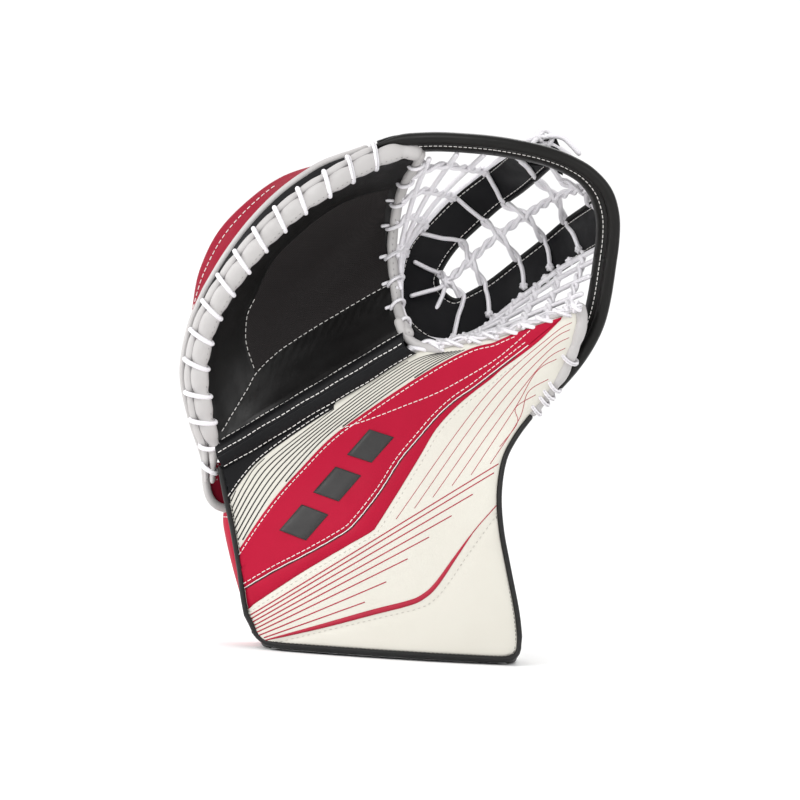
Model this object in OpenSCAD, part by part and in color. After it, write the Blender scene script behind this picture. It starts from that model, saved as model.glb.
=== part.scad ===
// Ice hockey goalie catch glove: it stands on its cuff, with the catching side towards -Y.
// The frame is right-handed: X to the right, Y towards the back of the hand, Z up.

/* [Layers] */
// Thickness of the outer leather
leather_t = 2.2; // [1.6:0.1:2.6]
// Thickness of the plastic board in the cuff and thumb
board_t = 2; // [1.5:0.1:2.2]
// Thickness of the foam behind the cuff board
cuff_foam_t = 11; // [9:0.5:11]
// Thickness of the foam behind the palm leather
palm_foam_t = 7; // [5:0.5:7]
// Thickness of a lining
liner_t = 1.2; // [0.8:0.1:1.2]

/* [Shape] */
// Depth that the palm dishes back beyond its edges
palm_dish = 36; // [30:1:38]
// Radius of the rolled white bindings
binding_r = 3.4; // [3:0.1:3.6]
// Radius of the rolled leather at the break
roll_r = 6; // [5:0.5:6.5]
// Half the thickness of the pocket's rim bar
rim_half_t = 5; // [4:0.5:5.5]
// Half the depth of the pocket's rim bar
rim_half_d = 15; // [12:1:15]

/* [Lacing] */
// Diameter of the lace
lace_d = 3.2; // [2.4:0.1:3.6]
// Number of lace loops round the finger edge
loop_count = 16; // [10:1:18]

/* [Straps] */
// Radius of the ring wire
wire_r = 2; // [1.6:0.1:2.4]
// Radial clearance of a strap's sewn loop on the ring wire
wire_gap = 0.06; // [0.03:0.01:0.09]

/* [Hidden] */

// Colours
BLACK = [0.09, 0.09, 0.10];
WHITE = [0.92, 0.91, 0.88];
RED = [0.72, 0.07, 0.17];
GREY = [0.35, 0.35, 0.37];

// The fold axis runs from the heel, along the break and under the pocket, to the rim.
fold_from = [-126, 24, 133];
fold_to = [141, 24, 316.5];
fold_angle = atan2(fold_to[2] - fold_from[2], fold_to[0] - fold_from[0]);
break_length = 150;

// Heights of the layers behind the outer leather's face, with a small gap between layers
gap = 0.2;
board_at = leather_t + gap;
cuff_foam_at = board_at + board_t + gap;
cuff_liner_at = cuff_foam_at + cuff_foam_t + gap;
palm_foam_at = leather_t + gap;
palm_liner_at = palm_foam_at + palm_foam_t + gap;
palm_back = palm_liner_at + liner_t;

// Edges of the cuff and thumb panel, as seen from the catching side
hem_h = 5;
panel_z = hem_h + 0.4;
cuff_bottom = [
    [-92, 15, 10], [-80, 9, panel_z], [-55, 4, panel_z], [-28, 1, panel_z], [0, 0, panel_z],
    [30, 1, panel_z], [58, 5, panel_z], [82, 11, panel_z], [94, 15, 9]
];
cuff_left = [
    [-92, 15, 10], [-98, 18, 33], [-103, 20, 57], [-109, 22, 85], [-114, 24, 106], [-118, 24, 127]
];
cuff_top = [
    [-118, 24, 127], [-91, 24, 146], [-57, 24, 170], [-23, 24, 193], [9, 25, 216],
    [25, 26, 219], [44, 24, 224], [67, 19, 230], [87, 11, 238], [108, 2, 247], [119, -1, 250]
];
cuff_right = [
    [94, 15, 9], [90, 17, 35], [82, 19, 66], [75, 20, 94], [72, 22, 119], [74, 26, 143],
    [81, 30, 160], [92, 31, 177], [105, 26, 194], [114, 16, 214], [119, 4, 236], [119, -1, 250]
];

// Edges of the palm
palm_break = [[-128, 24, 141], [-85, 24, 170.5], [-42, 24, 200], [0, 24, 229]];
palm_pocket = [
    [0, 24, 229], [-7, 38, 241], [-10, 48, 253], [-14, 56, 274], [-16, 58, 292],
    [-15, 55, 310], [-13, 46, 324], [-9, 33, 337], [-3, 20, 347], [0, 10, 354]
];
palm_left = [
    [-128, 24, 141], [-133, 16, 155], [-137, 10, 172], [-140, 5, 190], [-139, 0, 207],
    [-135, -4, 225], [-127, -7, 244]
];
palm_top = [
    [-127, -7, 244], [-114, -9, 266], [-97, -10, 289], [-77, -9, 310], [-54, -6, 328],
    [-34, -1, 342], [-15, 5, 352], [0, 10, 354]
];

// Edges of the pad over the backs of the fingers
pad_low = [[-139, 60, 114], [-129, 74, 156], [-98, 94, 208], [-62, 101, 242], [-26, 96, 266]];
pad_pocket = [[-26, 96, 266], [-28, 98, 284], [-30, 92, 306], [-28, 76, 328], [-24, 52, 346], [-16, 34, 360]];
pad_left = [[-139, 60, 114], [-149, 52, 144], [-156, 46, 172], [-160, 42, 206], [-158, 40, 236]];
pad_top = [
    [-158, 40, 236], [-150, 40, 262], [-134, 40, 290], [-113, 40, 314], [-90, 40, 334],
    [-62, 38, 350], [-38, 36, 358], [-16, 34, 360]
];

// Edges of the U-shaped spine under the pocket: the window's edge and the outer edge
tee_in = [
    [99, 20, 357], [80, 75, 340], [63, 95, 327], [47, 105, 311], [35, 106, 298], [26, 102, 284],
    [21, 95, 270], [26, 88, 261], [35, 86, 256], [44, 90, 261], [60, 98, 272], [78, 102, 288],
    [96, 98, 304], [113, 80, 320], [134, 24, 335]
];
tee_out = [
    [68, 18, 364], [50, 75, 350], [30, 92, 333], [13, 96, 314], [-1, 93, 296], [-6, 86, 279],
    [-7, 74, 260], [-2, 62, 241], [14, 55, 227], [33, 60, 224], [56, 76, 234], [74, 88, 251],
    [93, 90, 268], [113, 78, 285], [140, 26, 303]
];

// Centre lines of the rim bar's three lengths
rim_upper_line = [
    [-27, 20, 358], [-16, 17, 362], [-3, 15, 364], [15, 12, 365.5], [36, 9, 365.5], [52, 7, 365]
];
rim_top_line = [
    [61, 7, 364], [75, 6, 362.5], [88, 6, 360.5], [106, 8, 355.5], [122, 11, 347.5],
    [134, 14, 337], [140, 18, 321], [141.5, 21, 307], [141, 22, 297]
];
rim_lower_line = [
    [139, 23, 275], [138, 24, 260], [135, 27, 243], [128, 31, 226], [119, 37, 211], [109, 43, 198]
];
thumb_edge = [
    [121, 2, 253], [123, 3, 243], [119, 12, 226], [113, 22, 208], [104, 30, 194], [94, 35, 180]
];

// Points of a smooth curve through control points c, for s from 0 to 1
function spline(p, q, r, w, t) =
    0.5 * (2 * q + (r - p) * t + (2 * p - 5 * q + 4 * r - w) * t * t + (3 * q - p - 3 * r + w) * t * t * t);
function at(c, s) =
    let (n = len(c) - 1, k = min(floor(s * n), n - 1))
    spline(c[max(k - 1, 0)], c[k], c[k + 1], c[min(k + 2, n)], s * n - k);
function curve(c, n) = [for (i = [0:n]) at(c, i / n)];
function unit(v) = v / norm(v);
function direction(path, i) = unit(path[min(i + 1, len(path) - 1)] - path[max(i - 1, 0)]);
// Moves a path sideways by d in the plane seen from the catching side, and back by dy
function outset(path, d, dy = 0) = [
    for (i = [0:len(path) - 1])
        let (t = direction(path, i), n = unit([-t[2], 0, t[0]])) path[i] + d * n + [0, dy, 0]
];
function hump(u, v) = 16 * u * (1 - u) * v * (1 - v);

// A smooth four-sided surface between edge curves, pushed back by dish in the middle
function patch(low, top, left, right, nu, nv, dish) = [
    for (j = [0:nv]) [
        for (i = [0:nu]) let (u = i / nu, v = j / nv) patch_at(low, top, left, right, u, v, dish)
    ]
];
function patch_at(low, top, left, right, u, v, dish) =
    (1 - v) * at(low, u) + v * at(top, u) + (1 - u) * at(left, v) + u * at(right, v)
    - (1 - u) * (1 - v) * at(low, 0) - u * (1 - v) * at(low, 1)
    - (1 - u) * v * at(top, 0) - u * v * at(top, 1) + [0, dish * hump(u, v), 0];
function palm_at(u, v) = patch_at(palm_break, palm_top, palm_left, palm_pocket, u, v, palm_dish);
function pad_at(u, v) = patch_at(pad_low, pad_top, pad_left, pad_pocket, u, v, 24);

cuff_grid = patch(cuff_bottom, cuff_top, cuff_left, cuff_right, 14, 9, 0);
palm_grid = patch(palm_break, palm_top, palm_left, palm_pocket, 10, 10, palm_dish);
pad_grid = patch(pad_low, pad_top, pad_left, pad_pocket, 10, 9, 24);

// Moves a grid of points by amount, or by swell times the hump in its middle
function moved(grid, amount, swell = 0, way = [0, 1, 0]) =
    let (nv = len(grid) - 1, nu = len(grid[0]) - 1) [
        for (j = [0:nv]) [
            for (i = [0:nu]) grid[j][i] + way * (amount + swell * sqrt(max(0, hump(i / nu, j / nv))))
        ]
    ];

// Moves a grid of points by amount along its own normal
function swollen(grid, amount) =
    let (nv = len(grid) - 1, nu = len(grid[0]) - 1) [
        for (j = [0:nv]) [
            for (i = [0:nu])
                let (
                    a = grid[j][min(i + 1, nu)] - grid[j][max(i - 1, 0)],
                    b = grid[min(j + 1, nv)][i] - grid[max(j - 1, 0)][i]
                ) grid[j][i] + amount * unit(cross(a, b))
        ]
    ];

// The solid between two grids of points, the first towards the catching side
module slab(front, back) {
    nv = len(front) - 1;
    nu = len(front[0]) - 1;
    half = (nu + 1) * (nv + 1);
    function id(j, i) = j * (nu + 1) + i;
    points = [for (g = [front, back]) for (row = g) for (p = row) p];
    skins = [
        for (j = [0:nv - 1]) for (i = [0:nu - 1])
            let (a = id(j, i), b = id(j, i + 1), c = id(j + 1, i + 1), d = id(j + 1, i))
            for (f = [
                [a, d, c], [a, c, b], [a + half, b + half, c + half], [a + half, c + half, d + half]
            ]) f
    ];
    ring = concat(
        [for (i = [0:nu - 1]) id(0, i)], [for (j = [0:nv - 1]) id(j, nu)],
        [for (i = [nu:-1:1]) id(nv, i)], [for (j = [nv:-1:1]) id(j, 0)]
    );
    walls = [
        for (k = [0:len(ring) - 1])
            let (a = ring[k], b = ring[(k + 1) % len(ring)])
            for (f = [[a, b, b + half], [a, b + half, a + half]]) f
    ];
    polyhedron(points, concat(skins, walls));
}

// One layer of a padded panel
module layer(grid, from, thick) {
    slab(moved(grid, from), moved(grid, from + thick));
}

// A ring of points round a path point: across is in the seen plane, deep is nearer to Y
function ring_at(path, i, across, deep, sides) =
    let (
        t = direction(path, i), b = unit([0, 1, 0] - t * t[1]), n = cross(t, b)
    ) [for (k = [0:sides - 1]) path[i] + n * across * cos(360 * k / sides) + b * deep * sin(360 * k / sides)];

// A bar with an oval section along a path
module bar(path, across, deep, sides = 10) {
    n = len(path);
    points = [for (i = [0:n - 1]) each ring_at(path, i, across, deep, sides)];
    polyhedron(points, concat(
        [[for (k = [sides - 1:-1:0]) k]],
        [
            for (i = [0:n - 2]) for (k = [0:sides - 1])
                let (a = i * sides + k, b = i * sides + (k + 1) % sides)
                for (f = [[a, b + sides, a + sides], [a, b, b + sides]]) f
        ],
        [[for (k = [0:sides - 1]) (n - 1) * sides + k]]
    ));
}

// A sleeve with an open mouth at the path's start and a closed tip
module sleeve(path, outer, wall, sides = 12) {
    n = len(path);
    inner = [for (i = [0:n - 1]) i < n - 1 ? path[i] : path[n - 1] - wall * direction(path, n - 1)];
    points = concat(
        [for (i = [0:n - 1]) each ring_at(path, i, outer, outer, sides)],
        [for (i = [0:n - 1]) each ring_at(inner, i, outer - wall, outer - wall, sides)]
    );
    half = n * sides;
    polyhedron(points, concat(
        [
            for (i = [0:n - 2]) for (k = [0:sides - 1])
                let (a = i * sides + k, b = i * sides + (k + 1) % sides)
                for (f = [
                    [a, b + sides, a + sides], [a, b, b + sides],
                    [a + half, a + sides + half, b + sides + half], [a + half, b + sides + half, b + half]
                ]) f
        ],
        [
            for (k = [0:sides - 1]) let (a = k, b = (k + 1) % sides)
                for (f = [[a, b + half, b], [a, a + half, b + half]]) f
        ],
        [[for (k = [0:sides - 1]) (n - 1) * sides + k]],
        [[for (k = [sides - 1:-1:0]) half + (n - 1) * sides + k]]
    ));
}

// Puts its children on the fold axis: X along the break, Z up the palm, origin at the heel
module on_break() {
    translate(fold_from) rotate([0, -fold_angle, 0]) children();
}

// Turns the Z axis of its children to way
module facing(way) {
    rotate([0, acos(way[2] / norm(way)), atan2(way[1], way[0])]) children();
}

// A lace loop: a closed ring of lace round a bound edge
module lace_ring(centre, way, ring_r) {
    translate(centre) facing(way) rotate_extrude($fn = 24) translate([ring_r, 0]) circle(d = lace_d, $fn = 16);
}

/* ---- cuff and thumb ---- */
function hem_line(off) = [for (p = curve(cuff_bottom, 16)) [p[0], p[1] + off]];
module cuff_hem() {
    wing = 80;
    color(BLACK) linear_extrude(height = hem_h) polygon(concat(
        [[-78, wing], [-94, 62], [-94, 40], [-92.5, 14]],
        hem_line(-1.6),
        [[94.5, 14], [94.5, 40], [94.5, 62], [84, wing], [76, wing - 2], [84, 60], [84, 34]],
        [for (i = [15:-1:1]) hem_line(cuff_liner_at + liner_t + 1)[i]],
        [[-84, 34], [-84, 60], [-72, wing - 2]]
    ));
}
module cuff_cover() { color(WHITE) layer(cuff_grid, 0, leather_t); }
module cuff_board() { color(GREY) layer(cuff_grid, board_at, board_t); }
module cuff_foam() { color(GREY) layer(cuff_grid, cuff_foam_at, cuff_foam_t); }
module cuff_liner() { color(BLACK) layer(cuff_grid, cuff_liner_at, liner_t); }
binding_deep = 9.2;
module cuff_binding_left() {
    color(BLACK) bar(outset(curve(cuff_left, 8), 3.3, 8), 2.8, binding_deep);
}
module cuff_binding_right() {
    color(BLACK) bar(outset([for (p = curve(cuff_right, 16)) if (p[2] < 180) p], -3.3, 8), 2.8, binding_deep);
}
wing_t = 6;
wing_left_low = [
    [-86, 34, panel_z], [-88, 48, panel_z], [-87, 63, panel_z], [-83, 75, panel_z], [-72, 80, panel_z]
];
wing_left_top = [[-113, 43, 94], [-116, 54, 94], [-114, 68, 93], [-107, 79, 92], [-94, 84, 90]];
wing_right_low = [
    [72, 80, panel_z], [84, 75, panel_z], [88, 63, panel_z], [88, 48, panel_z], [86, 34, panel_z]
];
wing_right_top = [[50, 84, 106], [62, 80, 110], [68, 69, 114], [70, 57, 116], [67, 45, 118]];
module wing(low, top) {
    grid = patch(low, top, [low[0], top[0]], [low[4], top[4]], 10, 6, 0);
    slab(swollen(grid, wing_t), grid);
}
module cuff_wing_left() { color(RED) wing(wing_left_low, wing_left_top); }
module cuff_wing_right() { color(WHITE) wing(wing_right_low, wing_right_top); }
module thumb_binding() { color(WHITE) bar(curve(thumb_edge, 12), 4.2, 5.5); }
module thumb_lace() {
    color(WHITE) for (s = [0.72, 0.86, 0.98])
        lace_ring(at(thumb_edge, s), at(thumb_edge, s + 0.02) - at(thumb_edge, s - 0.02), 7.4);
}
thumb_path = [[36, 66, 166], [52, 64, 180], [68, 60, 193], [82, 55, 204], [92, 50, 212]];
module thumb_stall() { color(BLACK) sleeve(curve(thumb_path, 5), 12.5, 1.4); }
thumb_pad_low = [[44, 88, 158], [70, 84, 170], [98, 68, 184]];
thumb_pad_top = [[30, 90, 194], [62, 84, 212], [104, 64, 226]];
module thumb_back_pad() {
    grid = patch(thumb_pad_low, thumb_pad_top,
        [thumb_pad_low[0], thumb_pad_top[0]], [thumb_pad_low[2], thumb_pad_top[2]], 6, 4, 6);
    color(BLACK) slab(grid, moved(grid, 5, 7));
}
module rim_lower() { color(BLACK) bar(curve(rim_lower_line, 8), rim_half_t, rim_half_d); }

/* ---- straps: a webbing strap, a wire ring, and the flap that folds back over the ring ---- */
strap_t = 2;
patch_t = 1.5;
ring_span = 14;
barrel_r = 4;
flap_gap = 0.5;
flap_y = strap_t + patch_t + flap_gap + patch_t;
ring_y = flap_y - barrel_r + strap_t;
// Each is drawn with the ring's outer bar at x = 0, the strap's inner face at y = 0, and z up across the webbing
module strap_web(length, width) {
    translate([barrel_r + 0.6, 0, 0]) cube([length - barrel_r - 0.6, strap_t, width]);
}
module strap_loop_patch(length, width) {
    translate([14, strap_t, 2]) cube([length - 40, patch_t, width - 4]);
}
module strap_flap(length, width) {
    difference() {
        union() {
            translate([0, ring_y, 0]) cylinder(r = barrel_r, h = width, $fn = 48);
            translate([0, flap_y, 0]) cube([length, strap_t, width]);
        }
        translate([0, ring_y, -1]) cylinder(r = wire_r + wire_gap, h = width + 2, $fn = 48);
    }
}
module strap_hook_patch(length, width) {
    translate([12, flap_y - patch_t, 2]) cube([length - 16, patch_t, width - 4]);
}
module strap_ring(width) {
    rise = 3.5;
    for (x = [0, -ring_span]) translate([x, ring_y, -rise]) cylinder(r = wire_r, h = width + 2 * rise, $fn = 32);
    for (z = [-rise, width + rise])
        translate([-ring_span, ring_y, z]) rotate([0, 90, 0]) cylinder(r = wire_r, h = ring_span, $fn = 32);
    for (x = [0, -ring_span]) for (z = [-rise, width + rise]) translate([x, ring_y, z]) sphere(r = wire_r, $fn = 32);
}
module strap_ring_tab(reach, width) {
    difference() {
        union() {
            translate([-ring_span, ring_y, 4]) cylinder(r = barrel_r, h = width - 8, $fn = 48);
            translate([-ring_span - reach, ring_y - barrel_r, 4]) cube([reach, strap_t, width - 8]);
        }
        translate([-ring_span, ring_y, 0]) cylinder(r = wire_r + wire_gap, h = width, $fn = 48);
    }
}

wrist_w = 44;
wrist_len = 148;
wrist_flap_len = 92;
wrist_tab = 14;
module at_wrist() { translate([-76, 82, 34]) children(); }
module wrist_strap() { color(BLACK) at_wrist() strap_web(wrist_len, wrist_w); }
module wrist_loop_patch() { color(GREY) at_wrist() strap_loop_patch(wrist_len, wrist_w); }
module wrist_ring() { color(GREY) at_wrist() strap_ring(wrist_w); }
module wrist_ring_tab() { color(BLACK) at_wrist() strap_ring_tab(wrist_tab, wrist_w); }
module wrist_flap() { color(BLACK) at_wrist() strap_flap(wrist_flap_len, wrist_w); }
module wrist_hook_patch() { color(GREY) at_wrist() strap_hook_patch(wrist_flap_len, wrist_w); }

hand_w = 28;
hand_len = 86;
hand_flap_len = 50;
hand_tab = 20;
hand_at = [60, 74, 9];
module at_hand() { on_break() translate(hand_at) children(); }
module hand_strap() { color(BLACK) at_hand() strap_web(hand_len, hand_w); }
module hand_loop_patch() { color(GREY) at_hand() strap_loop_patch(hand_len, hand_w); }
module hand_ring() { color(GREY) at_hand() strap_ring(hand_w); }
module hand_ring_tab() { color(BLACK) at_hand() strap_ring_tab(hand_tab, hand_w); }
module hand_flap() { color(BLACK) at_hand() strap_flap(hand_flap_len, hand_w); }
module hand_hook_patch() { color(GREY) at_hand() strap_hook_patch(hand_flap_len, hand_w); }
// A point measured from the heel: along the break, back, and up the palm
function off_break(p) = fold_from + p[0] * [cos(fold_angle), 0, sin(fold_angle)]
    + [0, p[1], 0] + p[2] * [-sin(fold_angle), 0, cos(fold_angle)];
// A web of leather from the palm's lining at u back to a strap's end
module gusset(u, s) {
    near = [for (j = [0:3]) palm_at(u, 0.04 + 0.07 * j) + [0, palm_back + gap, 0]];
    far = [for (j = [0:3]) off_break(hand_at + [s, 0, hand_w * j / 3])];
    grid = [for (j = [0:3]) [for (i = [0:3]) near[j] * (1 - i / 3) + far[j] * i / 3]];
    slab(moved(grid, 3, 0, [1, 0, 0]), grid);
}
module hand_gusset() {
    color(BLACK) {
        gusset(0.93, hand_len);
        gusset(0.06, -ring_span - hand_tab);
    }
}

/* ---- pocket: break roll, spine, rim and net ---- */
module break_roll() { color(BLACK) on_break() rotate([0, 90, 0]) cylinder(r = roll_r, h = break_length, $fn = 48); }
tee_rows = 3;
function tee_grid() =
    let (a = curve(tee_out, 28), b = curve(tee_in, 28))
    [for (j = [0:tee_rows]) [for (i = [0:28]) let (f = j / tee_rows) a[i] * (1 - f) + b[i] * f]];
module tee_spine() { color(BLACK) slab(tee_grid(), moved(tee_grid(), 2.6)); }
module tee_lining() { color(GREY) slab(moved(tee_grid(), 2.8), moved(tee_grid(), 4.2)); }
module rim_top() { color(BLACK) bar(curve(rim_top_line, 14), rim_half_t, rim_half_d); }
module rim_upper() { color(BLACK) bar(curve(rim_upper_line, 8), rim_half_t, rim_half_d); }
module tee_lace() {
    color(WHITE) for (s = [0.3, 0.42])
        lace_ring(at(rim_top_line, s) + [0, 16, 0], at(rim_top_line, s + 0.03) - at(rim_top_line, s - 0.03), 8.6);
}

// A lace from a to b that bows back by sag in the middle
function bowed(a, b, sag, n = 4) = [for (i = [0:n]) let (s = i / n) a + (b - a) * s + [0, 4 * sag * s * (1 - s), 0]];
module lace(a, b, sag, n = 4) { bar(bowed(a, b, sag, n), lace_d / 2, lace_d / 2, 6); }
// How far along each edge the laces of the two nets are tied
window_ties = [[0.11, 0.90], [0.2, 0.8], [0.29, 0.70], [0.37, 0.62]];
module net_window() {
    color(WHITE) for (t = window_ties) lace(at(tee_in, t[0]) + [0, 1, 0], at(tee_in, t[1]) + [0, 1, 0], 3);
}
finger_ties = [[0.3, 0.43], [0.42, 0.35], [0.54, 0.28], [0.66, 0.21], [0.78, 0.15], [0.9, 0.1]];
module net_finger_side() {
    color(WHITE) for (t = finger_ties)
        lace(at(palm_pocket, t[0]) + [6, 2, 2], at(tee_out, t[1]) + [-4, -3, 3], 3);
}
thumb_ties = [[0.50, 0.63], [0.58, 0.68], [0.66, 0.73], [0.74, 0.79], [0.82, 0.85], [0.90, 0.9]];
module net_thumb_side() {
    color(WHITE) for (t = thumb_ties)
        lace(at(cuff_top, t[0]) + [0, 4, 5], at(tee_out, t[1]) + [2, -3, -3], 3);
}

/* ---- palm and fingers ---- */
perimeter = concat(curve(palm_left, 12), [for (i = [1:16]) at(palm_top, i / 16)]);
module palm_leather() { color(BLACK) layer(palm_grid, 0, leather_t); }
module palm_foam() { color(GREY) layer(palm_grid, palm_foam_at, palm_foam_t); }
module palm_liner() { color(BLACK) layer(palm_grid, palm_liner_at, liner_t); }
module palm_binding() { color(WHITE) bar(outset(perimeter, 1.5, -1), binding_r, binding_r, 8); }
module pad_binding() { color(WHITE) bar(outset([for (i = [0:25]) perimeter[i]], 8.6, 2), binding_r, binding_r, 8); }
piping_r = 2.2;
module pad_piping() { color(WHITE) bar(outset([for (i = [0:25]) perimeter[i]], 15, 14), piping_r, piping_r, 6); }
module pocket_binding() { color(WHITE) bar([for (p = curve(palm_pocket, 16)) p + [2.5, 1, 0]], 3.4, 5, 8); }
gusset_grid = let (a = outset(perimeter, 3, palm_back + 0.5), b = outset(perimeter, 12, 22)) [
    for (j = [0:2]) [for (i = [0:25]) a[i] * (1 - j / 2) + b[i] * j / 2]
];
module side_gusset() { color(BLACK) slab(gusset_grid, moved(gusset_grid, 2)); }
module perimeter_lace() {
    line = outset(perimeter, 5, 0.5);
    color(WHITE) for (i = [0:loop_count - 1])
        let (s = 1 + round(i * 24.5 / loop_count)) lace_ring(line[s], line[s + 1] - line[s - 1], 8.6);
}
module pad_foam() { color(GREY) slab(pad_grid, moved(pad_grid, 5, 14)); }
module pad_cover() { color(RED) slab(moved(pad_grid, 5.2, 14), moved(pad_grid, 7.2, 14)); }
// A finger's sleeve runs midway between the palm's lining and the pad
function finger_at(u, v) = (palm_at(u, v) + [0, palm_back, 0] + pad_at(u, v)) / 2;
module finger(u, from, to) {
    sleeve([for (i = [0:5]) finger_at(u, from + (to - from) * i / 5)], 10.4, 1.2);
}
module stall_index() { color(BLACK) finger(0.8, 0.36, 0.72); }
module stall_middle() { color(BLACK) finger(0.62, 0.36, 0.72); }
module stall_ring() { color(BLACK) finger(0.44, 0.36, 0.7); }
module stall_little() { color(BLACK) finger(0.26, 0.36, 0.68); }

cuff_hem();
cuff_cover();
cuff_board();
cuff_foam();
cuff_liner();
cuff_binding_left();
cuff_binding_right();
cuff_wing_left();
cuff_wing_right();
thumb_binding();
thumb_lace();
thumb_stall();
thumb_back_pad();
rim_lower();
wrist_strap();
wrist_loop_patch();
wrist_ring();
wrist_ring_tab();
wrist_flap();
wrist_hook_patch();
break_roll();
tee_spine();
tee_lining();
rim_top();
tee_lace();
net_window();
net_thumb_side();
palm_leather();
palm_foam();
palm_liner();
palm_binding();
pad_binding();
pad_piping();
pocket_binding();
side_gusset();
perimeter_lace();
pad_foam();
pad_cover();
rim_upper();
net_finger_side();
stall_index();
stall_middle();
stall_ring();
stall_little();
hand_gusset();
hand_strap();
hand_loop_patch();
hand_ring();
hand_ring_tab();
hand_flap();
hand_hook_patch();
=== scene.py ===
"""Goalie catch glove: its looks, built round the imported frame.

Curves and surfaces are worked out in millimetres in the frame's axes, and become metres when a mesh is made.
The catching side faces -Y, and the glove stands on its cuff.
"""

import math

import bmesh
import bpy
import numpy as np
from mathutils import Matrix, Vector, noise
from mathutils.bvhtree import BVHTree


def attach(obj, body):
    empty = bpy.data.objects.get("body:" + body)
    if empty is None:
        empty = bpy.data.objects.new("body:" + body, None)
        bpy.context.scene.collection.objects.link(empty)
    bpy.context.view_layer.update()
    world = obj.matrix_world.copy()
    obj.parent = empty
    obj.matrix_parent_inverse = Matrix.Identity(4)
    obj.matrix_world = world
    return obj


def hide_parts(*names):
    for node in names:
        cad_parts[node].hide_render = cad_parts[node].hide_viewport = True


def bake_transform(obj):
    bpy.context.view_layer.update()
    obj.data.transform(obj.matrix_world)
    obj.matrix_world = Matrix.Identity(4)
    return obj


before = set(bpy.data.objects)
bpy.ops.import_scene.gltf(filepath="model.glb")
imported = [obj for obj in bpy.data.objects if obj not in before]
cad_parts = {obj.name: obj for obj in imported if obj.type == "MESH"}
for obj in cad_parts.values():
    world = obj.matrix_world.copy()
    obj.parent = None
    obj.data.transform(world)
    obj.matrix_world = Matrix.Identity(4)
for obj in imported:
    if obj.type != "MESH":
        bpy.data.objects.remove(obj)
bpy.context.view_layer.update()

MM = 0.001
BACK = Vector((0, 1, 0))

# ---------------------------------------------------------------- curves and surfaces of the frame


def at(points, s):
    """The point at s, from 0 to 1, on a smooth curve through points."""
    n = len(points) - 1
    s = min(max(s, 0.0), 1.0)
    k = min(int(s * n), n - 1)
    t = s * n - k
    p, q, r, w = (Vector(points[min(max(i, 0), n)]) for i in (k - 1, k, k + 1, k + 2))
    return 0.5 * (2 * q + (r - p) * t + (2 * p - 5 * q + 4 * r - w) * t * t
                  + (3 * q - p - 3 * r + w) * t ** 3)


def curve(points, n, start=0.0, end=1.0):
    return [at(points, start + (end - start) * i / n) for i in range(n + 1)]


def length_of(path):
    return sum((b - a).length for a, b in zip(path, path[1:]))


def evenly(path, step):
    """The same path with points about step apart."""
    total = length_of(path)
    count = max(2, round(total / step))
    gap = total / count
    out, here, i, left = [path[0].copy()], path[0], 0, gap
    while len(out) < count and i < len(path) - 1:
        span = (path[i + 1] - here).length
        if span >= left:
            here = here + (path[i + 1] - here) * (left / span)
            out.append(here)
            left = gap
        else:
            left -= span
            i += 1
            here = path[i]
    out.append(path[-1].copy())
    return out


def direction(path, i):
    return (path[min(i + 1, len(path) - 1)] - path[max(i - 1, 0)]).normalized()


def sideways(t):
    """The unit vector to the left of a direction, as seen from the catching side."""
    return Vector((-t.z, 0, t.x)).normalized()


def outset(path, d, dy=0.0):
    """Moves a path to its left by d, a number or a function of the point, and back by dy."""
    out = []
    for i, p in enumerate(path):
        out.append(p + sideways(direction(path, i)) * (d(p) if callable(d) else d) + BACK * dy)
    return out


def flat3(points):
    return [(x, 0, z) for x, z in points]


def flat2(path):
    return [(p.x, p.z) for p in path]


def mix(a, b, t=0.5):
    """The (x, z) point t of the way from a to b."""
    return a[0] + (b[0] - a[0]) * t, a[1] + (b[1] - a[1]) * t


def shift(points, d):
    """Moves an (x, z) outline to its left by d."""
    return flat2(outset([Vector(p) for p in flat3(points)], d))


def ramp(x, low, high):
    """0 below low, 1 above high, and smooth between."""
    t = min(1.0, max(0.0, (x - low) / (high - low)))
    return t * t * (3 - 2 * t)


def bell(d, wide):
    """1 at d = 0, falling smoothly to nothing within about twice wide."""
    return math.exp(-(d / wide) ** 2)


def hump(u, v):
    """0 on the edges of the unit square and 1 in its middle."""
    return 16 * u * (1 - u) * v * (1 - v)


class Patch:
    """A smooth four-sided surface between edge curves, pushed back by dish in its middle."""

    def __init__(self, low, top, left, right, dish=0.0):
        self.low, self.top, self.left, self.right, self.dish = low, top, left, right, dish

    def __call__(self, u, v):
        low, top, left, right = self.low, self.top, self.left, self.right
        p = at(low, u) * (1 - v) + at(top, u) * v + at(left, v) * (1 - u) + at(right, v) * u
        p -= at(low, 0) * (1 - u) * (1 - v) + at(low, 1) * u * (1 - v)
        p -= at(top, 0) * (1 - u) * v + at(top, 1) * u * v
        return p + BACK * (self.dish * hump(u, v))

    def grid(self, nu, nv, u0=0.0, u1=1.0, v0=0.0, v1=1.0):
        return [[self(u0 + (u1 - u0) * i / nu, v0 + (v1 - v0) * j / nv) for i in range(nu + 1)]
                for j in range(nv + 1)]


def shifted(grid, way):
    """A grid moved by way(point, u, v), which returns a vector."""
    nv, nu = len(grid) - 1, len(grid[0]) - 1
    return [[p + way(p, i / nu, j / nv) for i, p in enumerate(row)] for j, row in enumerate(grid)]


def behind(grid, depth):
    """A grid moved back by depth."""
    return [[p + BACK * depth for p in row] for row in grid]


def normals_of(grid):
    """Unit normals, turned towards the catching side where the grid runs right and up."""
    nv, nu = len(grid) - 1, len(grid[0]) - 1
    out = []
    for j in range(nv + 1):
        row = []
        for i in range(nu + 1):
            a = grid[j][min(i + 1, nu)] - grid[j][max(i - 1, 0)]
            b = grid[min(j + 1, nv)][i] - grid[max(j - 1, 0)][i]
            n = a.cross(b)
            row.append(n.normalized() if n.length > 1e-9 else Vector((0, -1, 0)))
        out.append(row)
    return out


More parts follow.
